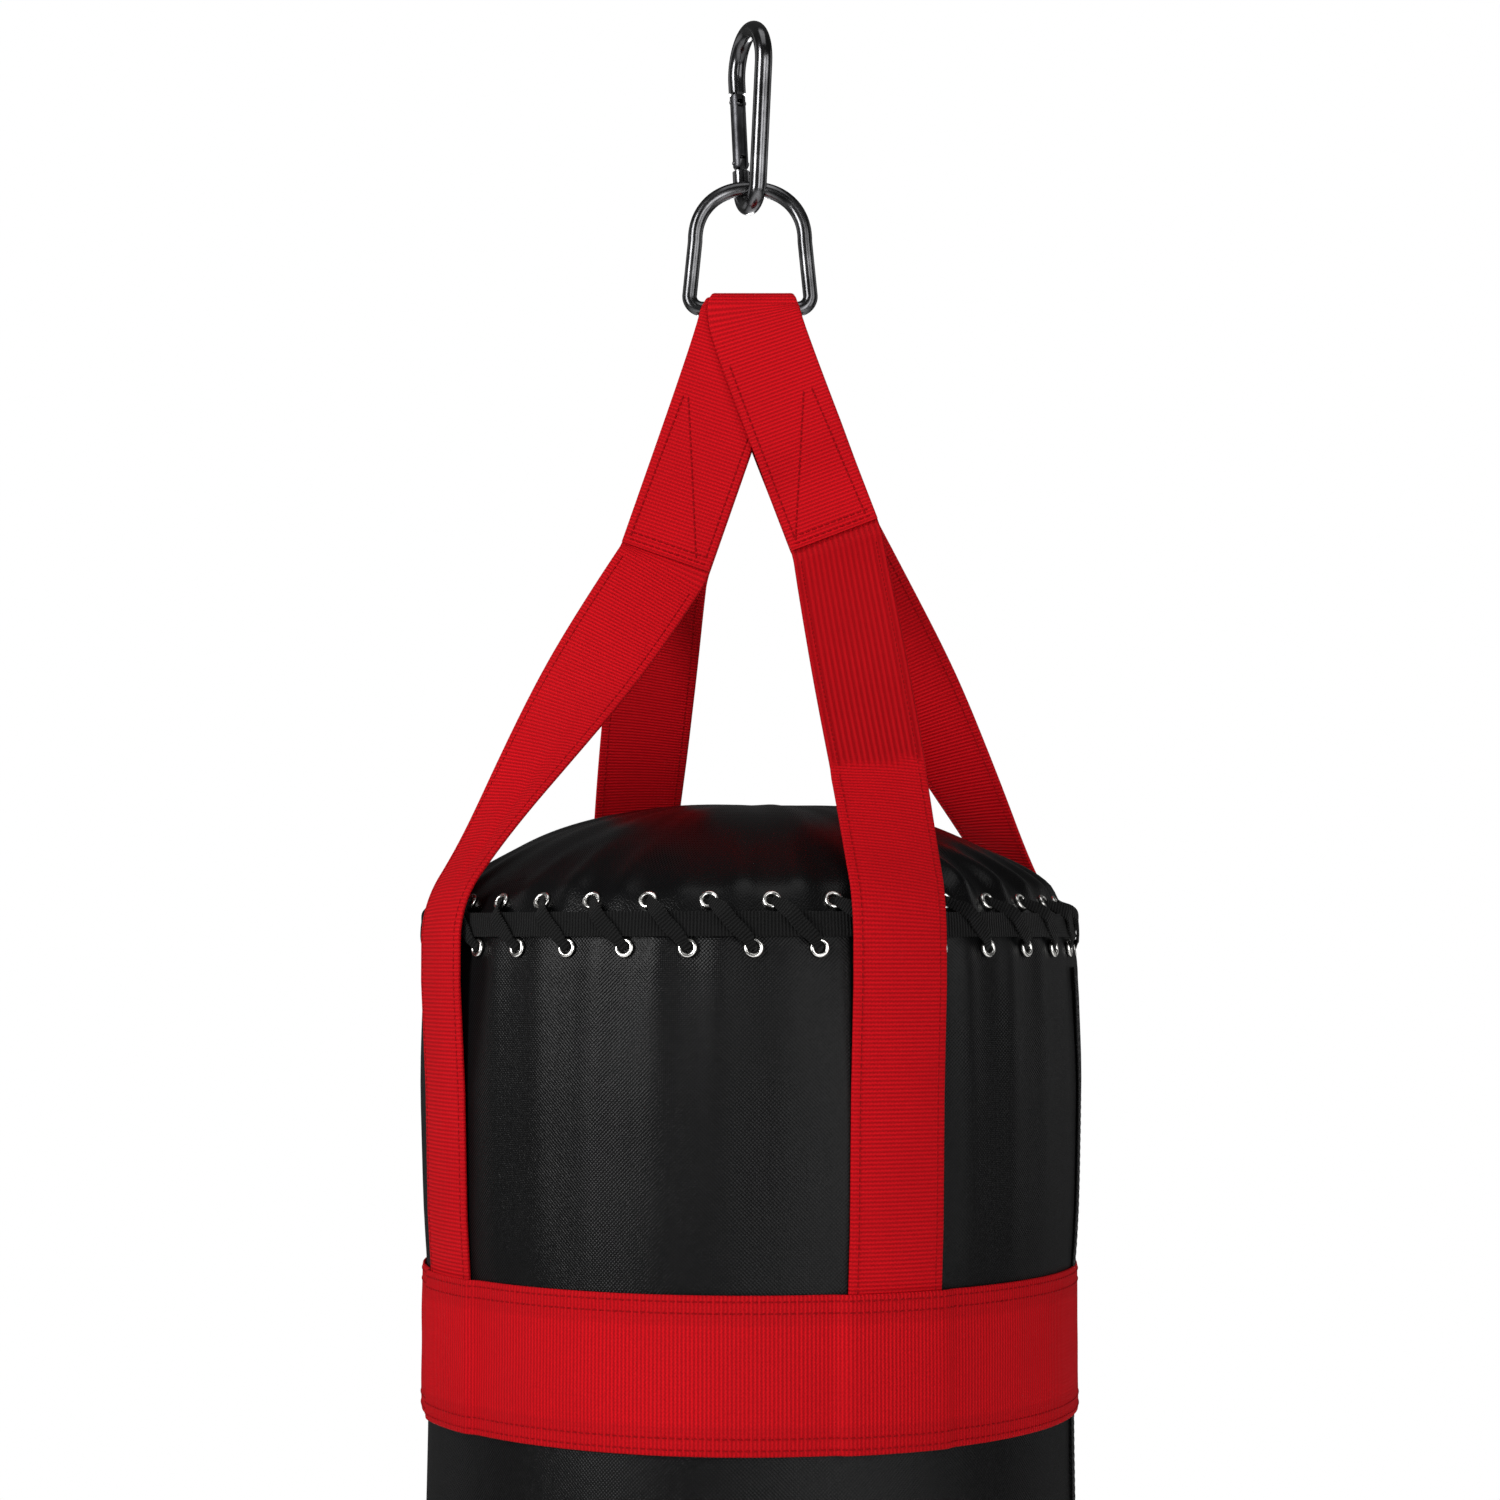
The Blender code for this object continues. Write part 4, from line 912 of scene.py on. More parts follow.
LOOP_CROSS_ROWS = (0.0028, 0.0066)
SHOULDER_Z = -0.472
SHOULDER_R = 0.1797
SHOULDER_FREE_Z = -0.512
STRAP_LIFT = 0.00045
STRAP_ON_SKIN_Z = -0.560
STRAP_END_Z = -0.728
STRAP_STEP = 0.006
STRAP_AZIMUTHS = {
    "front_right_strap": math.radians(24.0),
    "back_right_strap": math.radians(118.0),
    "back_left_strap": math.radians(204.0),
    "front_left_strap": math.radians(-62.0),
}
STRAP_FOLD = 0.66                  # place of the front right strap's fold on its free length
EDGE_SEAM = 0.0042                 # stitch rows from the edges of a strap


def leg_x(side, drop):
    """Sideways place of a loop's leg; drop goes from 0 at the bar to 1 at the seam."""
    lean = drop * drop / (drop + LEG_LEAN) * (1 + LEG_LEAN)
    return side * (LOOP_SHIFT + (SEAM_X - LOOP_SHIFT) * lean)


def loop_leg(side, z, front):
    """Point and width direction of a loop's leg at a height."""
    drop = (BAR_Z - z) / (BAR_Z - SEAM_Z[side])
    closing = float(smoothstep((OPEN_Z[side] - z) / (OPEN_Z[side] - CLOSE_Z[side])))
    y = WRAP_R[side] + (LEG_AT_SEAM - WRAP_R[side]) * closing
    tilt = SEAM_TILT * side * float(smoothstep(drop / TILT_SHARE))
    return Vector((leg_x(side, drop), -y if front else y, z)), Vector((math.cos(tilt), 0.0, math.sin(tilt)))


def make_loop(side, name, finish, thread, settings):
    """One piece of webbing folded over the bar, with its rows of stitches."""
    heights = [SEAM_Z[side] + (BAR_Z - SEAM_Z[side]) * step / LEG_STEPS for step in range(LEG_STEPS)]
    front = [loop_leg(side, z, True) for z in heights]
    back = [loop_leg(side, z, False) for z in heights[::-1]]
    top = arc(Vector((side * LOOP_SHIFT, 0, BAR_Z)), Vector((0, -1, 0)), UP, WRAP_R[side], 0, math.pi, 20)
    right = Vector((1.0, 0.0, 0.0))
    run = front + [(point, right) for point in top] + back
    crest_z = BAR_Z + WRAP_R[side]
    near_crest = [max(0.0, 1 - (crest_z - point.z) / CREST_REACH) for point, _ in run]
    narrowing = settings.width - LOOP_W_AT_CREST
    widths = [settings.width - narrowing * (1 - math.sqrt(1 - near ** 2)) for near in near_crest]

    crest_at = sum((after[0] - before[0]).length for before, after in zip(run, run[1:])) / 2

    def lift(u, v):
        wave = noise.noise(Vector((u * 30 + side * 7, v * 24, side))) * 0.0005
        edge = float(smoothstep((abs(u) - 0.017) / 0.008))
        return wave * min(1.0, abs(v - crest_at) / 0.04) - edge * 0.0001

    loop = Strip([p for p, _ in run], [a for _, a in run], widths, LOOP_T, lift=lift)
    piece(f"{name}_webbing", loop.mesh(name), finish, "bag", "red_webbing", name)
    leg = (BAR_Z - SEAM_Z[side]) * LEG_STRETCH
    end = loop.length
    apex = leg * LOOP_STITCH_APEX
    spots = []
    half = settings.width / 2 - EDGE_SEAM * 0.7
    inner = -side * (settings.width / 2 - EDGE_SEAM)
    rows = [((low_u, 0.004), (high_u, apex)) for high_u, low_u in LOOP_STITCH_TURNS[side]]
    rows += [((-half, height), (half, height)) for height in LOOP_CROSS_ROWS]
    rows.append(((inner, 0.006), (inner, leg * 0.8)))
    for (u0, v0), (u1, v1) in rows:
        spots += stitch_spots(loop, (u0, v0), (u1, v1), settings.stitch_pitch, -1)
        spots += stitch_spots(loop, (u0, end - v0), (u1, end - v1), settings.stitch_pitch, -1)
    mesh = stitch_mesh(f"{name}_stitching", spots, settings.stitch_length)
    piece(f"{name}_stitching", mesh, thread, "bag", "red_webbing")


def red_finishes(settings):
    """Finishes of the webbing and its thread, made once and then shared."""
    finish = bpy.data.materials.get(WEBBING_NAME) or webbing_finish(settings)
    thread = bpy.data.materials.get(THREAD_NAME) or thread_finish(settings)
    return finish, thread


def make_loops(settings):
    """The two hanger loops; the right one lies over the left one on the bar."""
    finish, thread = red_finishes(settings)
    make_loop(-1, "left_hanger_loop", finish, thread, settings)
    make_loop(1, "right_hanger_loop", finish, thread, settings)


def rounded(corners, radii, steps=14):
    """Replace each inner corner of a path by a smooth bend of the given radius."""
    path = [corners[0]]
    for before, here, after, radius in zip(corners, corners[1:], corners[2:], radii):
        to_before = (before - here).normalized()
        to_after = (after - here).normalized()
        half = to_before.angle(to_after) / 2
        reach = min(radius / math.tan(half), (before - here).length * 0.48, (after - here).length * 0.48)
        start, end = here + to_before * reach, here + to_after * reach
        for step in range(steps + 1):
            t = step / steps
            path.append(start * (1 - t) ** 2 + here * 2 * t * (1 - t) + end * t ** 2)
    return path + [corners[-1]]


def divided(path, step):
    """Add points on the long runs of a path."""
    finer = []
    for before, after in zip(path, path[1:]):
        count = max(1, round((after - before).length / step))
        finer += [before.lerp(after, share / count) for share in range(count)]
    return finer + [path[-1]]


def make_strap(name, azimuth, finish, thread, settings):
    """Webbing from between a loop's legs, over the shoulder and down to the belt."""
    out = radial(azimuth)
    side = 1 if out.x > 0 else -1
    front = out.y < 0
    seam_z = SEAM_Z[side]
    top_z = CLOSE_Z[side] - 0.004
    y = -STRAP_HALF_GAP if front else STRAP_HALF_GAP
    corners = [Vector((leg_x(side, (BAR_Z - z) / (BAR_Z - seam_z)), y, z))
               for z in (top_z, (top_z + seam_z) / 2, seam_z)]
    seam = corners[-1].copy()
    corners[-1] = seam + (corners[-1] - corners[-2]).normalized() * 0.004
    corners += [out * SHOULDER_R + UP * SHOULDER_Z, out * SHOULDER_R + UP * SHOULDER_FREE_Z]
    below = [z for _, z in SKIN_PROFILE if STRAP_END_Z < z < STRAP_ON_SKIN_Z] + [STRAP_END_Z]
    on_skin = [out * (skin_radius(z) + STRAP_LIFT + STRAP_T / 2) + UP * z for z in below]
    path = rounded(corners + on_skin[:1], [0.020, 0.020, 0.080, 0.080]) + on_skin[1:]
    path = divided(path, STRAP_STEP)
    start_dir = Vector((math.cos(SEAM_TILT), 0.0, math.sin(SEAM_TILT) * side))
    if not front:
        start_dir = -start_dir
    lengths = np.concatenate([[0.0], np.cumsum([(b - a).length for a, b in zip(path, path[1:])])])
    seam_at = lengths[min(range(len(path)), key=lambda place: (path[place] - seam).length)]
    shoulder_at = lengths[min(range(len(path)), key=lambda place: abs(path[place].z - SHOULDER_Z))]
    turns = [float(smoothstep((length - seam_at) / (shoulder_at - seam_at))) for length in lengths]
    across = [start_dir * (1 - turn) + around_dir(azimuth) * turn for turn in turns]
    curves = [turn ** 3 / SHOULDER_R for turn in turns]
    free = shoulder_at - seam_at
    fold_at = seam_at + free * STRAP_FOLD

    def lift(u, v):
        slack = float(smoothstep((v - seam_at) / 0.04) * smoothstep((shoulder_at + 0.02 - v) / 0.06))
        wave = noise.noise(Vector((u * 26 + azimuth * 5, v * 15, azimuth))) * 0.0012 * slack
        if name == "front_right_strap":
            wave += 0.0011 * float(smoothstep((fold_at + 0.002 - u * 0.15 - v) / 0.003)) * slack
        if name == "front_left_strap":
            groove = math.exp(-((u - 0.004 - (v - seam_at) * 0.02) / 0.004) ** 2)
            wave -= 0.0016 * groove * slack * float(smoothstep((v - seam_at - free * 0.35) / 0.08))
        return wave

    def reverse(u, v):
        if name != "front_right_strap":
            return 0.0
        return float(smoothstep((fold_at - u * 0.15 - v) / 0.002))

    strap = Strip(path, across, settings.width, STRAP_T, curves, lift, reverse)
    piece(f"{name}_webbing", strap.mesh(name), finish, "bag", "red_webbing", name)
    spots = []
    reach = settings.width / 2 - EDGE_SEAM
    for u in (-reach, reach):
        start, end = (u, float(seam_at) + 0.012), (u, strap.length - 0.01)
        spots += stitch_spots(strap, start, end, settings.stitch_pitch, -1)
        spots += stitch_spots(strap, start, end, settings.stitch_pitch, 1)
    mesh = stitch_mesh(f"{name}_stitching", spots, settings.stitch_length, 0.00036)
    piece(f"{name}_stitching", mesh, thread, "bag", "red_webbing")


def make_straps(settings):
    """The four straps, each sewn between the legs of its loop."""
    finish, thread = red_finishes(settings)
    for name, azimuth in STRAP_AZIMUTHS.items():
        make_strap(name, azimuth, finish, thread, settings)


def hoop(radius_at, middle_z, width, thickness, overlap, lift=None, steps=420, tilt=0.0):
    """Strip round the bag, one end lapped over the other behind; tilt leans its face up."""
    start, end = -math.pi - overlap / 2, math.pi + overlap / 2
    azimuths = [start + (end - start) * step / steps for step in range(steps + 1)]
    lapped = end - overlap
    points = []
    across = []
    for azimuth in azimuths:
        on_top = float(smoothstep((azimuth - lapped + overlap * 0.5) / (overlap * 0.3)))
        out = radial(azimuth)
        points.append(out * (radius_at(azimuth) + thickness / 2 + on_top * (thickness + GAP)) + UP * middle_z)
        across.append(UP * math.cos(tilt) - out * math.sin(tilt))
    return Strip(points, across, width, thickness, lift=lift)


def near_strap(azimuth, half_angle, soft):
    """1 over a strap, 0 away from it."""
    most = 0.0
    for centre in STRAP_AZIMUTHS.values():
        away = abs((azimuth - centre + math.pi) % math.tau - math.pi)
        most = max(most, float(smoothstep((half_angle + soft - away) / soft)))
    return most


BELT_TOP = high_z("belt")
BELT_LOW = low_z("belt")
BELT_T = 0.0018
BELT_ROWS = (0.0030, 0.0085)       # stitch rows from each edge
BELT_END_ROWS = (0.004, 0.030)     # stitch rows from the outer end
BELT_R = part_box("belt")[1].x - BELT_T       # inside radius where it passes over a strap


def make_belt(settings):
    """Wide belt sewn over the ends of the straps, with two rows of stitches at each edge."""
    finish, thread = red_finishes(settings)
    height = BELT_TOP - BELT_LOW
    tight = skin_radius((BELT_TOP + BELT_LOW) / 2) + GAP * 3
    strap_angle = settings.width / 2 / BELT_R

    def radius(azimuth):
        over = near_strap(azimuth, strap_angle, math.radians(2.6))
        return tight + (BELT_R - tight) * over + ripple(azimuth, 3.0, 2.5) * 0.0003

    def lift(u, v):
        return noise.noise(Vector((u * 40, v * 11, 5.0))) * 0.0004

    belt = hoop(radius, (BELT_TOP + BELT_LOW) / 2, height, BELT_T, math.radians(16), lift)
    piece("belt_webbing", belt.mesh("belt_webbing"), finish, "bag", "red_webbing", "belt")
    spots = []
    for inset in BELT_ROWS:
        for sign in (-1, 1):
            u = sign * (height / 2 - inset)
            spots += stitch_spots(belt, (u, 0.006), (u, belt.length - 0.006), settings.stitch_pitch, 1)
    reach = height / 2 - BELT_END_ROWS[0]
    for inset in BELT_END_ROWS:
        v = belt.length - inset
        spots += stitch_spots(belt, (-reach, v), (reach, v), settings.stitch_pitch, 1)
    mesh = stitch_mesh("belt_stitching", spots, settings.stitch_length, 0.00042)
    piece("belt_stitching", mesh, thread, "bag", "red_webbing")


# ---------------------------------------------------------------- vinyl
SKIN_PROFILE = [
    (0.1705, -0.4832), (0.1740, -0.5060), (0.1754, -0.5650), (0.1738, -0.6300), (0.1712, -0.6700),
    (0.1708, -0.7450), (0.1735, -1.0000), (0.1735, -1.5000), (0.1715, -1.6770),
]
SKIN_TOP = high_z("body_skin")
SKIN_LOW = low_z("body_skin")
SKIN_INNER_R = 0.1690
SKIN_STEPS = ((-0.62, 0.003), (-0.78, 0.008))       # row spacing above each height
SKIN_STEP_BELOW = 0.020
CAP_CREST_Z = high_z("top_cap")
CAP_DOME_R = 0.160
CAP_DOME_Z = -0.4635
CAP_DOME_H = CAP_CREST_Z - CAP_DOME_Z
CAP_POWER = 2.6
CAP_EDGE_R = 0.1700
CAP_EDGE_Z = -0.4825
CAP_T = 0.0015
CAP_RINGS = 45
RIM_RINGS = 7
CAP_EASED_R = 0.140                # the corner from dome to rim is eased outside this
UPPER_ROW_Z = -0.4715
LOWER_ROW_Z = -0.4945
ROW_START = {"upper": math.radians(0.6 - 7.5), "lower": math.radians(0.6)}
STEPS_PER_EYELET = 12
GATHER_SINK = 0.0012               # how far the lace pulls the vinyl in at an eyelet
CREASE_AZIMUTH = math.radians(-34.0)
CREASE_Z = -0.56
CREASE_DEPTH = 0.0012
LUMP_DEPTH = 0.0016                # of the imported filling, seen through the vinyl
STRAP_HOLD = (math.radians(8.6), math.radians(5.0))
BELT_HOLD = 0.012                  # how far beyond its edges the belt holds the vinyl flat
CAP_RIM = ((CAP_DOME_R, CAP_DOME_Z), (CAP_EDGE_R, CAP_EDGE_Z))
SKIN_RIM = (SKIN_PROFILE[0], SKIN_PROFILE[1])
SEAM_AZIMUTH = math.radians(77.0)
VINYL_STITCH = 0.0030
VINYL_STITCH_PITCH = 0.0042
VINYL_THREAD_R = 0.0003


def skin_radius(z):
    """Outer radius of the skin at a height."""
    heights = [-height for _, height in SKIN_PROFILE]
    return float(np.interp(-z, heights, [r for r, _ in SKIN_PROFILE]))


def smooth_skin_radius(z):
    """The same, with the profile's corners eased below the eyelets."""
    span = min(0.014, max(0.0, (SKIN_TOP - 0.012 - z) * 0.9))
    return (skin_radius(z - span) + 2 * skin_radius(z) + skin_radius(z + span)) / 4


def puckers(azimuth, row, eyelets, seed):
    """Height of the folds between the eyelets of a row, from 0 at an eyelet to about 1."""
    phase = (azimuth - ROW_START[row]) * eyelets
    strength = 0.55 + 0.45 * ripple(azimuth, seed, 2.3)
    sharp = (0.5 - 0.5 * math.cos(phase)) ** 1.5
    return sharp * max(0.12, strength)


def skin_rise(azimuth, z, settings):
    """How far the vinyl stands off its plain profile."""
    below = LOWER_ROW_Z - z
    folds = puckers(azimuth, "lower", settings.eyelets, 11.0)
    reach = 0.060 + 0.070 * max(0.0, ripple(azimuth, 21.0, 4.0) + 0.25)
    fade = math.exp(-max(0.0, below) / reach) * float(smoothstep((SKIN_TOP - z) / 0.010))
    rise = (settings.gather * folds - GATHER_SINK) * fade
    slant = (azimuth - CREASE_AZIMUTH) * 0.174 + (z - CREASE_Z) * 0.10
    crease = math.exp(-(slant / 0.0045) ** 2)
    rise -= CREASE_DEPTH * crease * float(smoothstep((-0.508 - z) / 0.03) * smoothstep((z + 0.62) / 0.05))
    packed = noise.noise(Vector((math.sin(azimuth) * 1.7, math.cos(azimuth) * 1.7, z * 7.0)))
    rise += packed * LUMP_DEPTH * float(smoothstep(below / 0.06) * smoothstep((z - SKIN_LOW) / 0.05))
    strap = near_strap(azimuth, *STRAP_HOLD) * float(smoothstep((z - BELT_LOW) / 0.02))
    under_top = smoothstep((BELT_TOP + BELT_HOLD - z) / BELT_HOLD)
    over_low = smoothstep((z - BELT_LOW + BELT_HOLD) / BELT_HOLD)
    held = max(strap, float(under_top * over_low))
    return rise * (1 - held) + min(rise, 0.0) * held


def cap_rise(azimuth, radius, settings):
    """How far the cap stands off its plain dome; its puckers are deepest towards the right."""
    edge = float(smoothstep((radius - 0.100) / 0.055))
    folds = puckers(azimuth, "upper", settings.eyelets, 4.0)
    side = 0.65 + 0.55 * math.exp(-((azimuth - math.radians(62.0)) / 0.6) ** 2)
    rim = float(smoothstep((radius - 0.158) / 0.006))
    rise = (settings.gather * folds * side - GATHER_SINK) * edge ** 2 * (1 - 0.45 * rim)
    loose = noise.noise(Vector((math.sin(azimuth) * radius * 16, math.cos(azimuth) * radius * 16, 2.0)))
    rays = ripple(azimuth, 8.0, 6.0) * float(smoothstep(radius / 0.08) * (1 - edge))
    return rise + (loose * 0.0016 + rays * 0.0010) * (1 - rim)


def shell_mesh(name, outer, inner, steps, rise):
    """Turned shell of (r, z, normal r, normal z) rows, whose outer rows rise displaces."""
    verts = []
    faces = []
    azimuths = [step * math.tau / steps for step in range(steps)]
    pole = outer[0][0] == 0.0
    rows = (outer[1:] + inner[:-1]) if pole else (outer + inner)
    shown = len(outer) - (1 if pole else 0)
    for row, (r, z, normal_r, normal_z) in enumerate(rows):
        for azimuth in azimuths:
            shift = rise(azimuth, r, z) if row < shown else 0.0
            reach = r + normal_r * shift
            verts.append((reach * math.sin(azimuth), -reach * math.cos(azimuth), z + normal_z * shift))
    count = len(rows)
    for row in range(count - 1 if pole else count):
        here, there = row * steps, (row + 1) % count * steps
        for index in range(steps):
            after = (index + 1) % steps
            faces.append((here + index, here + after, there + after, there + index))
    if pole:
        for row, z in ((0, outer[0][1]), (count - 1, inner[-1][1])):
            centre = len(verts)
            verts.append((0.0, 0.0, z))
            for index in range(steps):
                faces.append((row * steps + index, row * steps + (index + 1) % steps, centre))
    return mesh_of(name, verts, faces, sharp=math.radians(60.0))


def dome_drop(r):
    """How far the cap's dome lies below its crest at a radius."""
    return CAP_DOME_H * (r / CAP_DOME_R) ** CAP_POWER


def eased(rows, from_r):
    """Rows averaged with their neighbours, outside a radius."""
    middle = []
    for before, here, after in zip(rows, rows[1:], rows[2:]):
        if here[0] > from_r:
            here = tuple(here[axis] / 2 + (before[axis] + after[axis]) / 4 for axis in range(4))
        middle.append(here)
    return [rows[0]] + middle + [rows[-1]]


def cap_rows():
    """Rows of the cap's outside and inside, from the crest to the edge and back."""
    outer = []
    for ring in range(CAP_RINGS + 1):
        r = CAP_DOME_R * ring / CAP_RINGS
        slope = CAP_POWER * CAP_DOME_H / CAP_DOME_R * (r / CAP_DOME_R) ** (CAP_POWER - 1)
        size = math.hypot(1.0, slope)
        outer.append((r, CAP_CREST_Z - dome_drop(r), slope / size, 1.0 / size))
    out, down = CAP_EDGE_R - CAP_DOME_R, CAP_EDGE_Z - CAP_DOME_Z
    run = Vector((out, down)).normalized()
    for ring in range(1, RIM_RINGS + 1):
        share = ring / RIM_RINGS
        outer.append((CAP_DOME_R + out * share, CAP_DOME_Z + down * share, -run.y, run.x))
    for _ in range(4):
        outer = eased(outer, CAP_EASED_R)
    inner = [(r - nr * CAP_T, z - nz * CAP_T, nr, nz) for r, z, nr, nz in outer[::-3][:17]]
    return outer, inner + [(0.0, CAP_CREST_Z - CAP_T, 0.0, 1.0)]


def skin_step(z):
    """Height from one row of the skin to the next: small under the lacing, large below the belt."""
    for above, step in SKIN_STEPS:
        if z > above:
            return step
    return SKIN_STEP_BELOW


def skin_rows():
    """Rows of the skin's outside and inside."""
    heights = []
    z = SKIN_TOP
    while z > SKIN_LOW + 0.004:
        heights.append(z)
        z -= skin_step(z)
    heights.append(SKIN_LOW)
    outer = [(smooth_skin_radius(z), z, 1.0, 0.0) for z in heights]
    inner = [(SKIN_INNER_R, z, 1.0, 0.0) for z in (SKIN_LOW, -1.2, -0.66)]
    inner.append((SKIN_PROFILE[1][0] - CAP_T, SKIN_PROFILE[1][1], 1.0, 0.0))
    inner.append((SKIN_PROFILE[0][0] - CAP_T, SKIN_TOP, 1.0, 0.0))
    return outer, inner


def vinyl_stitching(name, strip, places, thread, slot, faces=(1,)):
    """Straight rows of black stitches along a strip, at these places across it."""
    spots = []
    for u in places:
        for face in faces:
            spots += stitch_spots(strip, (u, 0.004), (u, strip.length - 0.004), VINYL_STITCH_PITCH, face)
    piece(name, stitch_mesh(name, spots, VINYL_STITCH, VINYL_THREAD_R), thread, "bag", slot)


def make_base_disc(finish):
    """Vinyl base, a little dished."""
    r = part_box("bottom_disc")[1].x
    low, high = low_z("bottom_disc"), high_z("bottom_disc")
    outline = [
        (0.0, low + 0.0012), (r * 0.35, low + 0.0009), (r * 0.8, low), (r - 0.001, low),
        (r, low + 0.0008), (r, high), (0.0, high),
    ]
    piece("base_disc", turned_mesh("base_disc", outline, 180), finish, "bag", "black_vinyl", "bottom_disc")


def make_welt(finish, thread, settings):
    """The seam down the right side, with its two rows of stitches."""
    points = []
    z = high_z("side_seam_strip")
    while z > low_z("side_seam_strip"):
        shift = max(0.0, skin_rise(SEAM_AZIMUTH, z, settings))
        points.append(radial(SEAM_AZIMUTH) * (smooth_skin_radius(z) + shift + GAP + 0.0005) + UP * z)
        z -= 0.006
    welt = Strip(points, [around_dir(SEAM_AZIMUTH)] * len(points), 0.008, 0.0010, columns=6)
    piece("seam_welt", welt.mesh("seam_welt"), finish, "bag", "black_vinyl", "side_seam_strip")
    vinyl_stitching("seam_welt_stitching", welt, (-0.0026, 0.0026), thread, "black_vinyl", (-1, 1))


def make_binding(thread):
    """Tape bound round the edge of the base."""
    tape = braid_finish("black_binding_tape", 0.0011, (0.011, 0.011, 0.011), 0.00025)
    bottom, top = low_z("base_binding"), high_z("base_binding")
    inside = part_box("base_binding")[1].x - 0.0015
    binding = hoop(lambda a: inside, (bottom + top) / 2, top - bottom, 0.0015, math.radians(10),
                   lambda u, v: noise.noise(Vector((u * 60, v * 30, 1.0))) * 0.0003)
    mesh = binding.mesh("base_binding_tape")
    piece("base_binding_tape", mesh, tape, "bag", "black_tape", "base_binding")
    rows = (-(top - bottom) / 2 + 0.003, (top - bottom) / 2 - 0.003)
    vinyl_stitching("base_binding_stitching", binding, rows, thread, "black_tape")


def make_vinyl(settings):
    """Cap, skin, base disc, seam welt and base binding."""
    gloss = vinyl_finish("cap_vinyl_finish", settings, 0.16, 0.00003)
    satin = vinyl_finish("skin_vinyl_finish", settings, 0.22, 0.00016)
    steps = settings.eyelets * STEPS_PER_EYELET
    outer, inner = cap_rows()
    cap = shell_mesh("cap_vinyl", outer, inner, steps, lambda a, r, z: cap_rise(a, r, settings))
    piece("cap_vinyl", cap, gloss, "bag", "black_vinyl", "top_cap")
    outer, inner = skin_rows()
    skin = shell_mesh("skin_vinyl", outer, inner, steps, lambda a, r, z: skin_rise(a, z, settings))
    piece("skin_vinyl", skin, satin, "bag", "black_vinyl", "body_skin")
    make_base_disc(satin)
    thread = black_thread_finish()
    make_welt(satin, thread, settings)
    make_binding(thread)


# ---------------------------------------------------------------- lacing
TAPE_TOP = (0.1706, -0.4770)
TAPE_LOW = (0.1718, -0.4890)
TAPE_MIDDLE = ((TAPE_TOP[0] + TAPE_LOW[0]) / 2, (TAPE_TOP[1] + TAPE_LOW[1]) / 2)
TAPE_T = 0.0013
BACKING_W = 0.0128
BACKING_T = 0.0012
BACKING_DEPTH = 0.0032             # of the backing strip behind the face of the vinyl
EYELET_SIDES = 28
EYELET_BORE = 0.56                 # share of the eyelet's radius that is open
LACE_T = 0.0012
LACE_W = 0.0074
LACE_W_IN_EYELET = 0.0046
LACE_CUP = 90.0                    # how much the lace curls across where it enters an eyelet
LACE_DEPTH = 0.0045                # how far behind its eyelet a turn of lace ends
LACE_OVER = ((0.36, TAPE_TOP, 0.0022), (0.58, TAPE_MIDDLE, 0.0021), (0.84, TAPE_LOW, 0.0018))


def cone_frame(cone):
    """Outward normal of a cone's side in (r, z)."""
    (r0, z0), (r1, z1) = cone
    run = Vector((r1 - r0, z1 - z0)).normalized()
    return Vector((-run.y, run.x))


def row_line(row):
    """Radius, height and outward normal of a row of eyelets, and the tilt of the vinyl there."""
    cone, z = (CAP_RIM, UPPER_ROW_Z) if row == "upper" else (SKIN_RIM, LOWER_ROW_Z)
    (r0, z0), (r1, z1) = cone
    r = r0 + (r1 - r0) * (z0 - z) / (z0 - z1)
    return r, z, cone_frame(cone), math.atan2(r1 - r0, z0 - z1)


def row_places(row, settings):
    """Centre, outward normal and azimuth of every eyelet in a row."""
    r, z, normal, _ = row_line(row)
    for index in range(settings.eyelets):
        azimuth = ROW_START[row] + index * math.tau / settings.eyelets
        out = radial(azimuth)
        yield out * r + UP * z, out * normal.x + UP * normal.y, azimuth


def eyelet_outline(outer, bore):
    """Rolled flange and barrel of one eyelet, as (r, height above the vinyl)."""
    roll = (outer - bore) / 2
    flange = []
    for step in range(9):
        angle = step * math.pi / 8
        flange.append((bore + roll + roll * math.cos(angle), 0.0002 + 0.0011 * math.sin(angle)))
    throat = bore * 0.62
    return flange + [
        (throat, -0.0022), (throat + 0.0003, -0.0026), (bore + 0.0006, -0.0006), (outer - 0.0002, -0.0004),
    ]


def make_eyelets(row, finish, settings):
    """A row of rolled eyelets."""
    outline = eyelet_outline(settings.eyelet_radius, settings.eyelet_radius * EYELET_BORE)
    pattern = ring_faces(EYELET_SIDES, len(outline), closed=True)
    verts = []
    faces = []
    for centre, normal, azimuth in row_places(row, settings):
        base = len(verts)
        side = around_dir(azimuth)
        other = normal.cross(side)
        for step in range(EYELET_SIDES):
            angle = step * math.tau / EYELET_SIDES
            out = math.cos(angle) * side + math.sin(angle) * other
            verts += [centre + out * r + normal * height for r, height in outline]
        faces += [tuple(base + index for index in face) for face in pattern]
    mesh = mesh_of(f"{row}_eyelets", verts, faces)
    piece(f"{row}_eyelets", mesh, finish, "bag", "eyelet_nickel", f"{row}_eyelet_band")


def make_backing(row, finish):
    """Woven strip behind the vinyl that the eyelets clamp."""
    r, z, normal, tilt = row_line(row)
    inside = r - normal.x * BACKING_DEPTH
    strip = hoop(lambda a: inside, z - normal.y * BACKING_DEPTH, BACKING_W, BACKING_T, math.radians(6),
                 tilt=tilt, steps=204)
    piece(f"{row}_backing_strip", strip.mesh(f"{row}_backing"), finish, "bag", "black_tape")


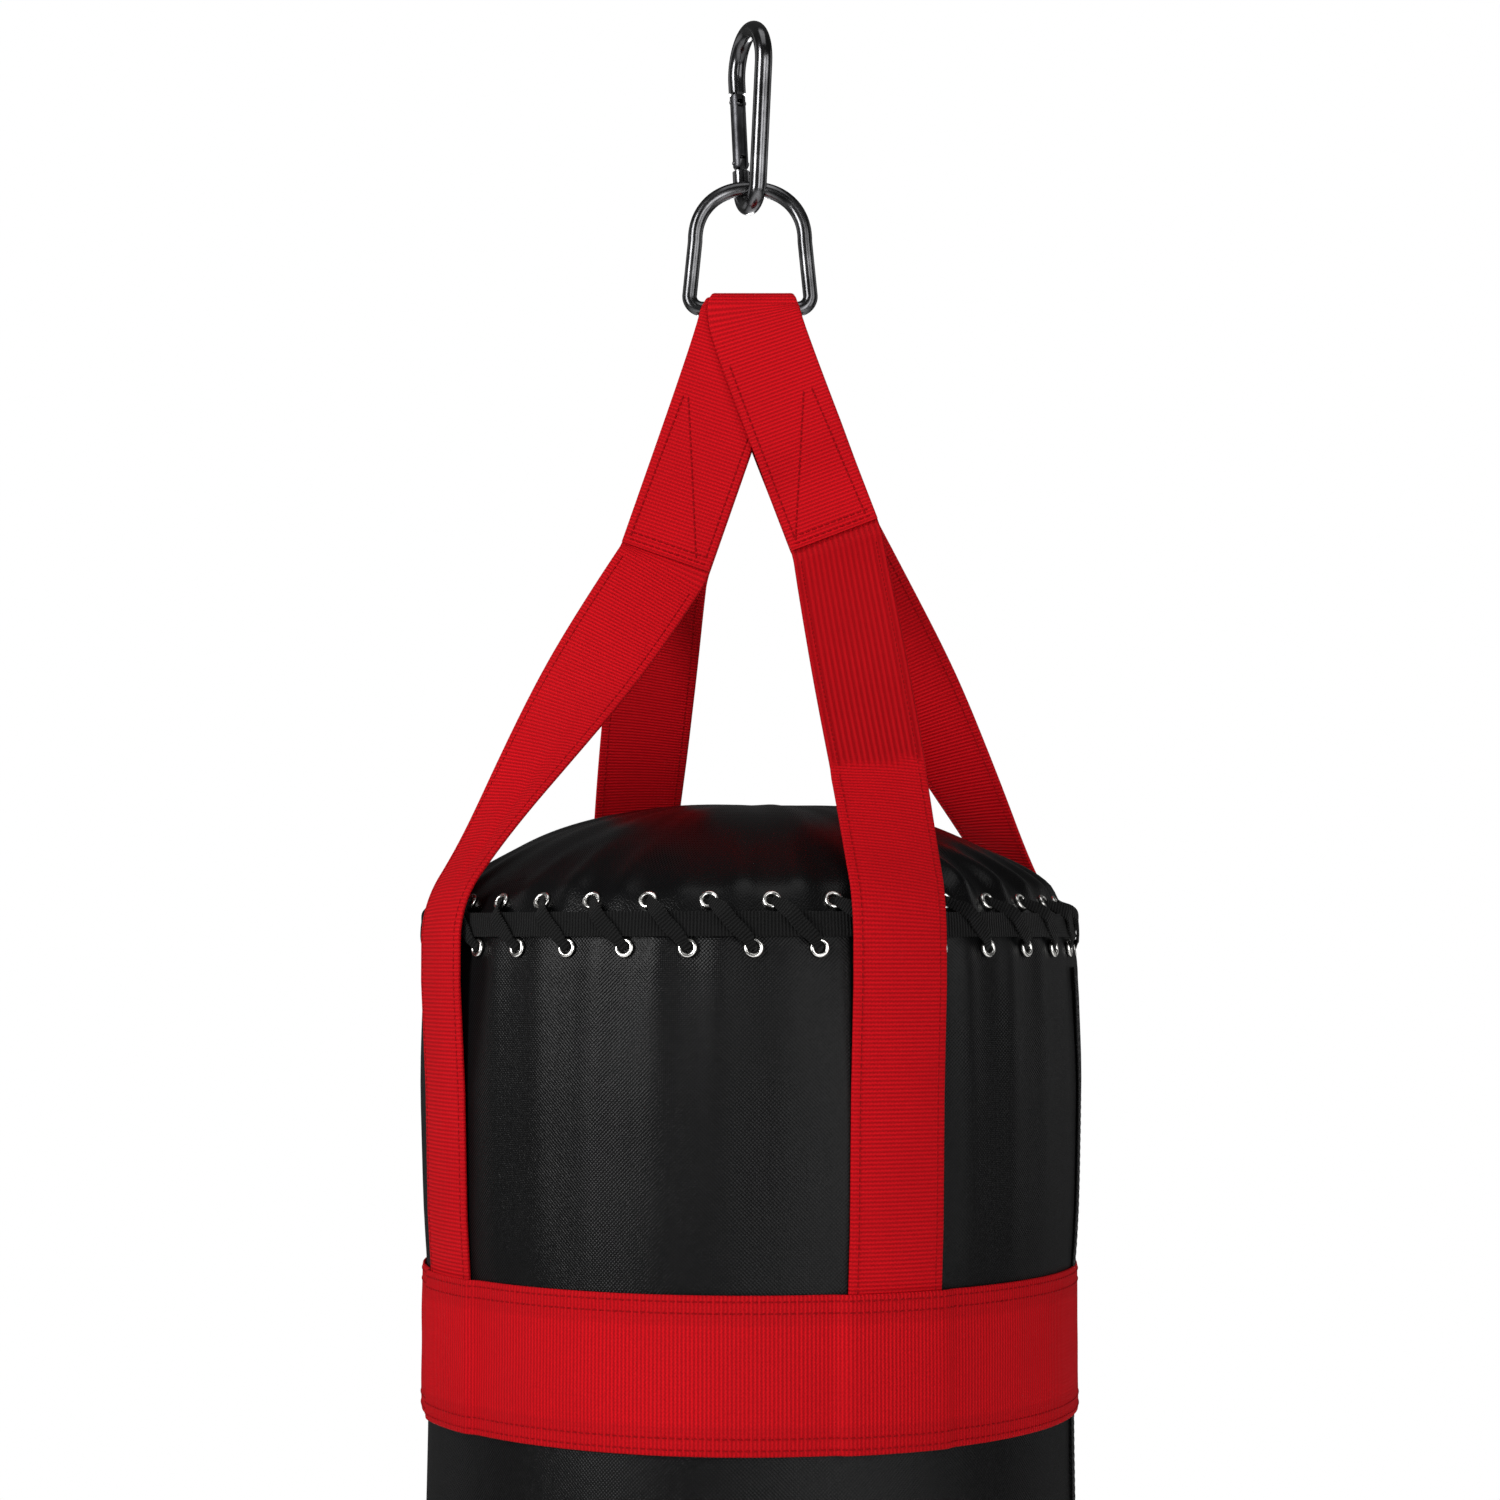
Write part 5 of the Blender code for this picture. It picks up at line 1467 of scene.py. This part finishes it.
def make_hem_tape(finish, settings):
    """Ribbed tape between the two rows of eyelets, pinched by each turn of lace."""
    r, z = TAPE_MIDDLE
    width = math.dist(TAPE_TOP, TAPE_LOW)
    tilt = math.atan2(TAPE_LOW[0] - TAPE_TOP[0], TAPE_TOP[1] - TAPE_LOW[1])

    def lift(u, v):
        azimuth = v / r - math.pi
        pinch = 0.5 + 0.5 * math.cos((azimuth - ROW_START["upper"] - 0.07) * settings.eyelets)
        edge = abs(u) / width * 2
        return 0.0007 * (1 - pinch) * (0.4 + edge) + noise.noise(Vector((u * 150, v * 60, 9.0))) * 0.0006

    hem = hoop(lambda a: r + 0.0002, z, width, TAPE_T, math.radians(6), lift, 680, tilt)
    piece("hem_tape_braid", hem.mesh("hem_tape_braid"), finish, "bag", "black_tape", "hem_tape")


def spline(points, steps):
    """Smooth curve through the points, with that many steps between two of them."""
    padded = [points[0]] + list(points) + [points[-1]]
    curve = []
    for a, b, c, d in zip(padded, padded[1:], padded[2:], padded[3:]):
        for step in range(steps):
            t = step / steps
            curve.append(0.5 * (2 * b + (c - a) * t + (2 * a - 5 * b + 4 * c - d) * t ** 2
                                + (3 * b - a - 3 * c + d) * t ** 3))
    return curve + [points[-1]]


def lace_front(upper, lower, index):
    """Route of a turn of lace out of an upper eyelet, over the tape and into a lower one."""
    (top, top_out, top_az), (low, low_out, low_az) = upper, lower
    tape_normal = cone_frame((TAPE_TOP, TAPE_LOW))
    droop = noise.noise(Vector((index * 3.1, 0.4, 0.0))) * 0.0009
    over = []
    for share, (r, z), rise in LACE_OVER:
        reach = r + tape_normal.x * (TAPE_T + rise) + abs(droop)
        over.append(radial(top_az + (low_az - top_az) * share) * reach + UP * (z + droop))
    way = (low - top).normalized()
    return [
        top - top_out * LACE_DEPTH,
        top + top_out * 0.0006 + way * 0.0004,
        top + top_out * 0.0026 + way * 0.0030,
        *over,
        low + low_out * 0.0026 - way * 0.0030,
        low + low_out * 0.0006 - way * 0.0004,
        low - low_out * LACE_DEPTH,
    ]


def lace_behind(lower, next_upper, next_azimuth):
    """Route of a turn of lace behind the vinyl, from a lower eyelet up to the next upper one."""
    low, low_out, low_az = lower
    r = low.xy.length - 0.0062
    return [
        low - low_out * LACE_DEPTH,
        radial(low_az + 0.02) * r + UP * (LOWER_ROW_Z + 0.008),
        radial(next_azimuth) * (r - 0.0012) + UP * (UPPER_ROW_Z - 0.006),
        next_upper[0] - next_upper[1] * LACE_DEPTH,
    ]


def lace_strand(route, cupped, index):
    """Mesh of the lace along one route; it narrows into the eyelets, and curls there if cupped."""
    curve = spline(route, 6)
    steps = [(after - before).length for before, after in zip(curve, curve[1:])]
    lengths = np.concatenate([[0.0], np.cumsum(steps)])
    share = lengths / lengths[-1]
    wide = smoothstep((share - 0.10) / 0.25) * smoothstep((0.90 - share) / 0.25)
    widths = LACE_W_IN_EYELET + (LACE_W - LACE_W_IN_EYELET) * wide
    across = []
    for place, point in enumerate(curve):
        along = (curve[min(place + 1, len(curve) - 1)] - curve[max(place - 1, 0)]).normalized()
        side = Vector((point.x, point.y, 0.0)).normalized().cross(along)
        flat = around_dir(math.atan2(point.x, -point.y))
        if side.length < 0.5:
            side = flat + UP * 0.6
        if side.dot(flat) < 0:
            side = -side
        across.append(side.normalized())
    cup = [LACE_CUP * (1 - w) if cupped else 0.0 for w in wide]
    strip = Strip(curve, across, widths, LACE_T, curves=cup,
                  lift=lambda u, v: noise.noise(Vector((u * 300, v * 120, index))) * 0.0002, columns=6)
    return strip.mesh("strand")


def make_lace(finish, settings):
    """Flat lace, whipped once round the whole rim through both rows of eyelets."""
    uppers = list(row_places("upper", settings))
    lowers = list(row_places("lower", settings))
    verts = []
    faces = []
    strips = []
    for index, (upper, lower) in enumerate(zip(uppers, lowers)):
        next_upper = uppers[(index + 1) % len(uppers)]
        next_azimuth = upper[2] + math.tau / settings.eyelets
        front = lace_front(upper, lower, index)
        behind = lace_behind(lower, next_upper, next_azimuth)
        for route, cupped in ((front, True), (behind, False)):
            mesh = lace_strand(route, cupped, index)
            base = len(verts)
            verts += [tuple(vert.co) for vert in mesh.vertices]
            faces += [tuple(base + corner for corner in face.vertices) for face in mesh.polygons]
            strips += [tuple(item.vector) for item in mesh.attributes["strip"].data]
            bpy.data.meshes.remove(mesh)
    mesh = mesh_of("lacing", verts, faces, strips, WOVEN_SHARP)
    piece("lacing", mesh, finish, "bag", "black_lace", "lace")


def make_lacing(settings):
    """Eyelets with their backing, hem tape and the lace."""
    nickel = nickel_finish()
    tape = braid_finish("black_hem_tape", 0.0017, (0.006, 0.006, 0.006), 0.0006)
    lace = braid_finish("black_lace_weave", 0.0016, (0.006, 0.006, 0.006), 0.0006)
    for row in ("upper", "lower"):
        make_eyelets(row, nickel, settings)
        make_backing(row, tape)
    make_hem_tape(tape, settings)
    make_lace(lace, settings)


# ---------------------------------------------------------------- filling
LINER_T = 0.0200
FILLING_STEPS = 96
FOAM_LUMPS = 0.0008
SHRED_LUMPS = 0.0020


def lumpy(outline, steps, depth, scale, seed):
    """Turned soft solid whose surface goes in and out, never past its own outline."""
    mesh = turned_mesh("soft", outline, steps, sharp=math.radians(50.0))
    for vert in mesh.vertices:
        bump = (noise.noise(vert.co * scale + Vector((seed, 0.0, 0.0))) - 0.6) * depth
        radius = vert.co.xy.length
        if radius > 1e-6:
            vert.co.xy = vert.co.xy * (1.0 + bump / radius * min(1.0, radius / 0.02))
    return mesh


def filled_outline(points, step):
    """Closed (r, z) outline with points added on its long sides."""
    outline = []
    for (r0, z0), (r1, z1) in zip(points, points[1:] + points[:1]):
        if r0 == 0.0 and r1 == 0.0:
            outline.append((r0, z0))
            continue
        count = max(1, round(math.dist((r0, z0), (r1, z1)) / step))
        outline += [(r0 + (r1 - r0) * k / count, z0 + (z1 - z0) * k / count) for k in range(count)]
    return outline


def disc_outline(node, r):
    """(r, z) outline of a solid disc or cylinder as high as its node."""
    return [(0.0, high_z(node)), (r, high_z(node)), (r, low_z(node)), (0.0, low_z(node))]


def make_filling():
    """Foam liner, packed textile and the two foam pads."""
    foam, textile = foam_finish(), textile_finish()
    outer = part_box("foam_liner")[1].x
    inner = outer - LINER_T
    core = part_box("textile_filling")[1].x
    low, high = low_z("foam_liner"), high_z("foam_liner")
    tube = [(outer, high), (outer, low), (inner, low), (inner, high)]
    shapes = (
        ("foam_tube", "foam_liner", foam, "foam", tube, FOAM_LUMPS, 9.0),
        ("packed_shreds", "textile_filling", textile, "shredded_textile",
         disc_outline("textile_filling", core), SHRED_LUMPS, 25.0),
        ("bottom_foam", "bottom_pad", foam, "foam", disc_outline("bottom_pad", core), FOAM_LUMPS, 12.0),
    )
    for name, node, finish, slot, outline, depth, scale in shapes:
        mesh = lumpy(filled_outline(outline, 0.02), FILLING_STEPS, depth, scale, len(name))
        piece(name, mesh, finish, "bag", slot, node)
    top, base = high_z("top_pad"), low_z("top_pad")
    dome = []
    for ring in range(15):
        r = core * ring / 14
        dome.append((r, top - dome_drop(r) - 0.0025 * ring / 14))
    mesh = lumpy(dome + [(core, base), (0.0, base)], FILLING_STEPS, FOAM_LUMPS, 12.0, 3)
    piece("top_foam", mesh, foam, "bag", "foam", "top_pad")


# ---------------------------------------------------------------- stage
CAMERA_Z = -0.495
CAMERA_TILT = math.radians(3.0)
CAMERA_LENS = 70.46
CAMERA_SHIFT = 0.030


def area_light(name, azimuth, elevation, distance, size, power, aim_z=-0.5):
    """Rectangular light aimed at the bag's axis, hidden from the camera."""
    data = bpy.data.lights.new(name, "AREA")
    data.shape = "RECTANGLE"
    data.size, data.size_y = size
    data.energy = power
    obj = bpy.data.objects.new(name, data)
    flat = radial(math.radians(azimuth))
    rise = math.radians(elevation)
    place = flat * distance * math.cos(rise) + UP * (aim_z + distance * math.sin(rise))
    obj.location = place
    obj.rotation_mode = "QUATERNION"
    obj.rotation_quaternion = (place - UP * aim_z).to_track_quat("Z", "Y")
    obj.visible_camera = False
    bpy.context.scene.collection.objects.link(obj)
    return obj


def make_stage(settings):
    """Camera, floor, lights and a white world that lights the bag only a little."""
    scene = bpy.context.scene
    data = bpy.data.cameras.new("camera")
    data.lens = CAMERA_LENS
    data.sensor_width = 36.0
    data.shift_y = CAMERA_SHIFT
    camera = bpy.data.objects.new("camera", data)
    camera.location = (0.0, -settings.distance, CAMERA_Z)
    camera.rotation_euler = (math.pi / 2 + CAMERA_TILT, 0.0, 0.0)
    scene.collection.objects.link(camera)
    scene.camera = camera

    floor_z = CAD_BOX[0].z - 0.05
    outline = [(0.0, floor_z), (3.0, floor_z), (3.02, floor_z - 0.01), (0.0, floor_z - 0.01)]
    mesh = turned_mesh("floor", outline, 96)
    mesh.materials.append(floor_finish(settings.floor_colour))
    floor = bpy.data.objects.new("studio_floor", mesh)
    scene.collection.objects.link(floor)

    area_light("key_left", -50.0, 18.0, 1.9, (0.55, 1.6), settings.key_power * 1.05)
    area_light("front", 18.0, 2.0, 2.4, (0.8, 1.9), settings.key_power * 0.60)
    area_light("fill_right", 50.0, 6.0, 2.3, (1.0, 1.9), settings.key_power * 0.45)
    area_light("side_left", -118.0, 12.0, 2.2, (0.8, 1.8), settings.key_power * 0.08)
    area_light("side_right", 116.0, 12.0, 2.2, (0.8, 1.8), settings.key_power * 0.08)
    area_light("back", 180.0, 0.0, 2.3, (0.75, 1.0), settings.key_power * 0.9, -1.05)
    area_light("top", 10.0, 72.0, 2.0, (1.2, 1.2), settings.key_power * 0.18)

    wash = area_light("floor_wash", 0.0, 89.0, 3.5, (4.0, 4.0), settings.key_power * 2.5)
    washed = bpy.data.collections.new("washed_floor")
    washed.objects.link(floor)
    wash.light_linking.receiver_collection = washed

    world = bpy.data.worlds.new("studio")
    scene.world = world
    world.use_nodes = True
    nodes, links = world.node_tree.nodes, world.node_tree.links
    output = nodes["World Output"]
    dim = nodes["Background"]
    dim.inputs["Color"].default_value = (1.0, 1.0, 1.0, 1.0)
    dim.inputs["Strength"].default_value = 0.07
    bright = nodes.new("ShaderNodeBackground")
    bright.inputs["Color"].default_value = (1.0, 1.0, 1.0, 1.0)
    bright.inputs["Strength"].default_value = 1.0
    path = nodes.new("ShaderNodeLightPath")
    mix = nodes.new("ShaderNodeMixShader")
    links.new(path.outputs["Is Camera Ray"], mix.inputs[0])
    links.new(dim.outputs["Background"], mix.inputs[1])
    links.new(bright.outputs["Background"], mix.inputs[2])
    links.new(mix.outputs["Shader"], output.inputs["Surface"])
    scene.view_settings.view_transform = "Standard"


# ---------------------------------------------------------------- add-on
class BAG_OT_carabiner(bpy.types.Operator):
    """Build the carabiner with its gate, rivets, plunger and spring"""

    bl_idname = "punching_bag.carabiner"
    bl_label = "Carabiner"

    def execute(self, context):
        make_carabiner(context.scene.bag_hardware)
        return {"FINISHED"}


class BAG_OT_ring(bpy.types.Operator):
    """Build the D-ring"""

    bl_idname = "punching_bag.ring"
    bl_label = "D-ring"

    def execute(self, context):
        make_ring(context.scene.bag_hardware)
        return {"FINISHED"}


class BAG_OT_loops(bpy.types.Operator):
    """Build the two hanger loops and their stitching"""

    bl_idname = "punching_bag.loops"
    bl_label = "Hanger loops"

    def execute(self, context):
        make_loops(context.scene.bag_webbing)
        return {"FINISHED"}


class BAG_OT_straps(bpy.types.Operator):
    """Build the four straps and their stitching"""

    bl_idname = "punching_bag.straps"
    bl_label = "Straps"

    def execute(self, context):
        make_straps(context.scene.bag_webbing)
        return {"FINISHED"}


class BAG_OT_belt(bpy.types.Operator):
    """Build the belt and its stitching"""

    bl_idname = "punching_bag.belt"
    bl_label = "Belt"

    def execute(self, context):
        make_belt(context.scene.bag_webbing)
        return {"FINISHED"}


class BAG_OT_vinyl(bpy.types.Operator):
    """Build the cap, the skin and their seams"""

    bl_idname = "punching_bag.vinyl"
    bl_label = "Cap and skin"

    def execute(self, context):
        make_vinyl(context.scene.bag_body)
        return {"FINISHED"}


class BAG_OT_lacing(bpy.types.Operator):
    """Build the hem tape, the eyelets and the lace"""

    bl_idname = "punching_bag.lacing"
    bl_label = "Lacing"

    def execute(self, context):
        make_lacing(context.scene.bag_body)
        return {"FINISHED"}


class BAG_OT_filling(bpy.types.Operator):
    """Build the foam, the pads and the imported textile"""

    bl_idname = "punching_bag.filling"
    bl_label = "Filling"

    def execute(self, context):
        make_filling()
        return {"FINISHED"}


class BAG_OT_stage(bpy.types.Operator):
    """Add the floor, the lights and the camera"""

    bl_idname = "punching_bag.stage"
    bl_label = "Stage"

    def execute(self, context):
        make_stage(context.scene.bag_stage)
        return {"FINISHED"}


class BAG_PT_panel(bpy.types.Panel):
    """Sizes, colours and build steps of the punching bag"""

    bl_idname = "BAG_PT_panel"
    bl_label = "Punching bag"
    bl_space_type = "VIEW_3D"
    bl_region_type = "UI"
    bl_category = "Punching bag"

    def draw(self, context):
        for group in SETTINGS:
            settings = getattr(context.scene, group)
            box = self.layout.box()
            for name in settings.__annotations__:
                box.prop(settings, name)
        for operator in OPERATORS:
            self.layout.operator(operator.bl_idname)


SETTINGS = {
    "bag_hardware": HardwareSettings,
    "bag_webbing": WebbingSettings,
    "bag_body": BagSettings,
    "bag_stage": StageSettings,
}
OPERATORS = (
    BAG_OT_stage, BAG_OT_carabiner, BAG_OT_ring, BAG_OT_loops, BAG_OT_straps, BAG_OT_belt, BAG_OT_vinyl,
    BAG_OT_lacing, BAG_OT_filling,
)


def register():
    """Add the settings, the operators and the panel to Blender."""
    for name, group in SETTINGS.items():
        bpy.utils.register_class(group)
        setattr(bpy.types.Scene, name, bpy.props.PointerProperty(type=group))
    for operator in OPERATORS:
        bpy.utils.register_class(operator)
    bpy.utils.register_class(BAG_PT_panel)


def unregister():
    """Take them away again."""
    bpy.utils.unregister_class(BAG_PT_panel)
    for operator in reversed(OPERATORS):
        bpy.utils.unregister_class(operator)
    for name, group in reversed(SETTINGS.items()):
        delattr(bpy.types.Scene, name)
        bpy.utils.unregister_class(group)


def main():
    """Build the stage and every part of the bag."""
    register()
    bpy.ops.punching_bag.stage()
    bpy.ops.punching_bag.carabiner()
    bpy.ops.punching_bag.ring()
    bpy.ops.punching_bag.loops()
    bpy.ops.punching_bag.straps()
    bpy.ops.punching_bag.belt()
    bpy.ops.punching_bag.vinyl()
    bpy.ops.punching_bag.lacing()
    bpy.ops.punching_bag.filling()


if __name__ == "__main__":
    main()
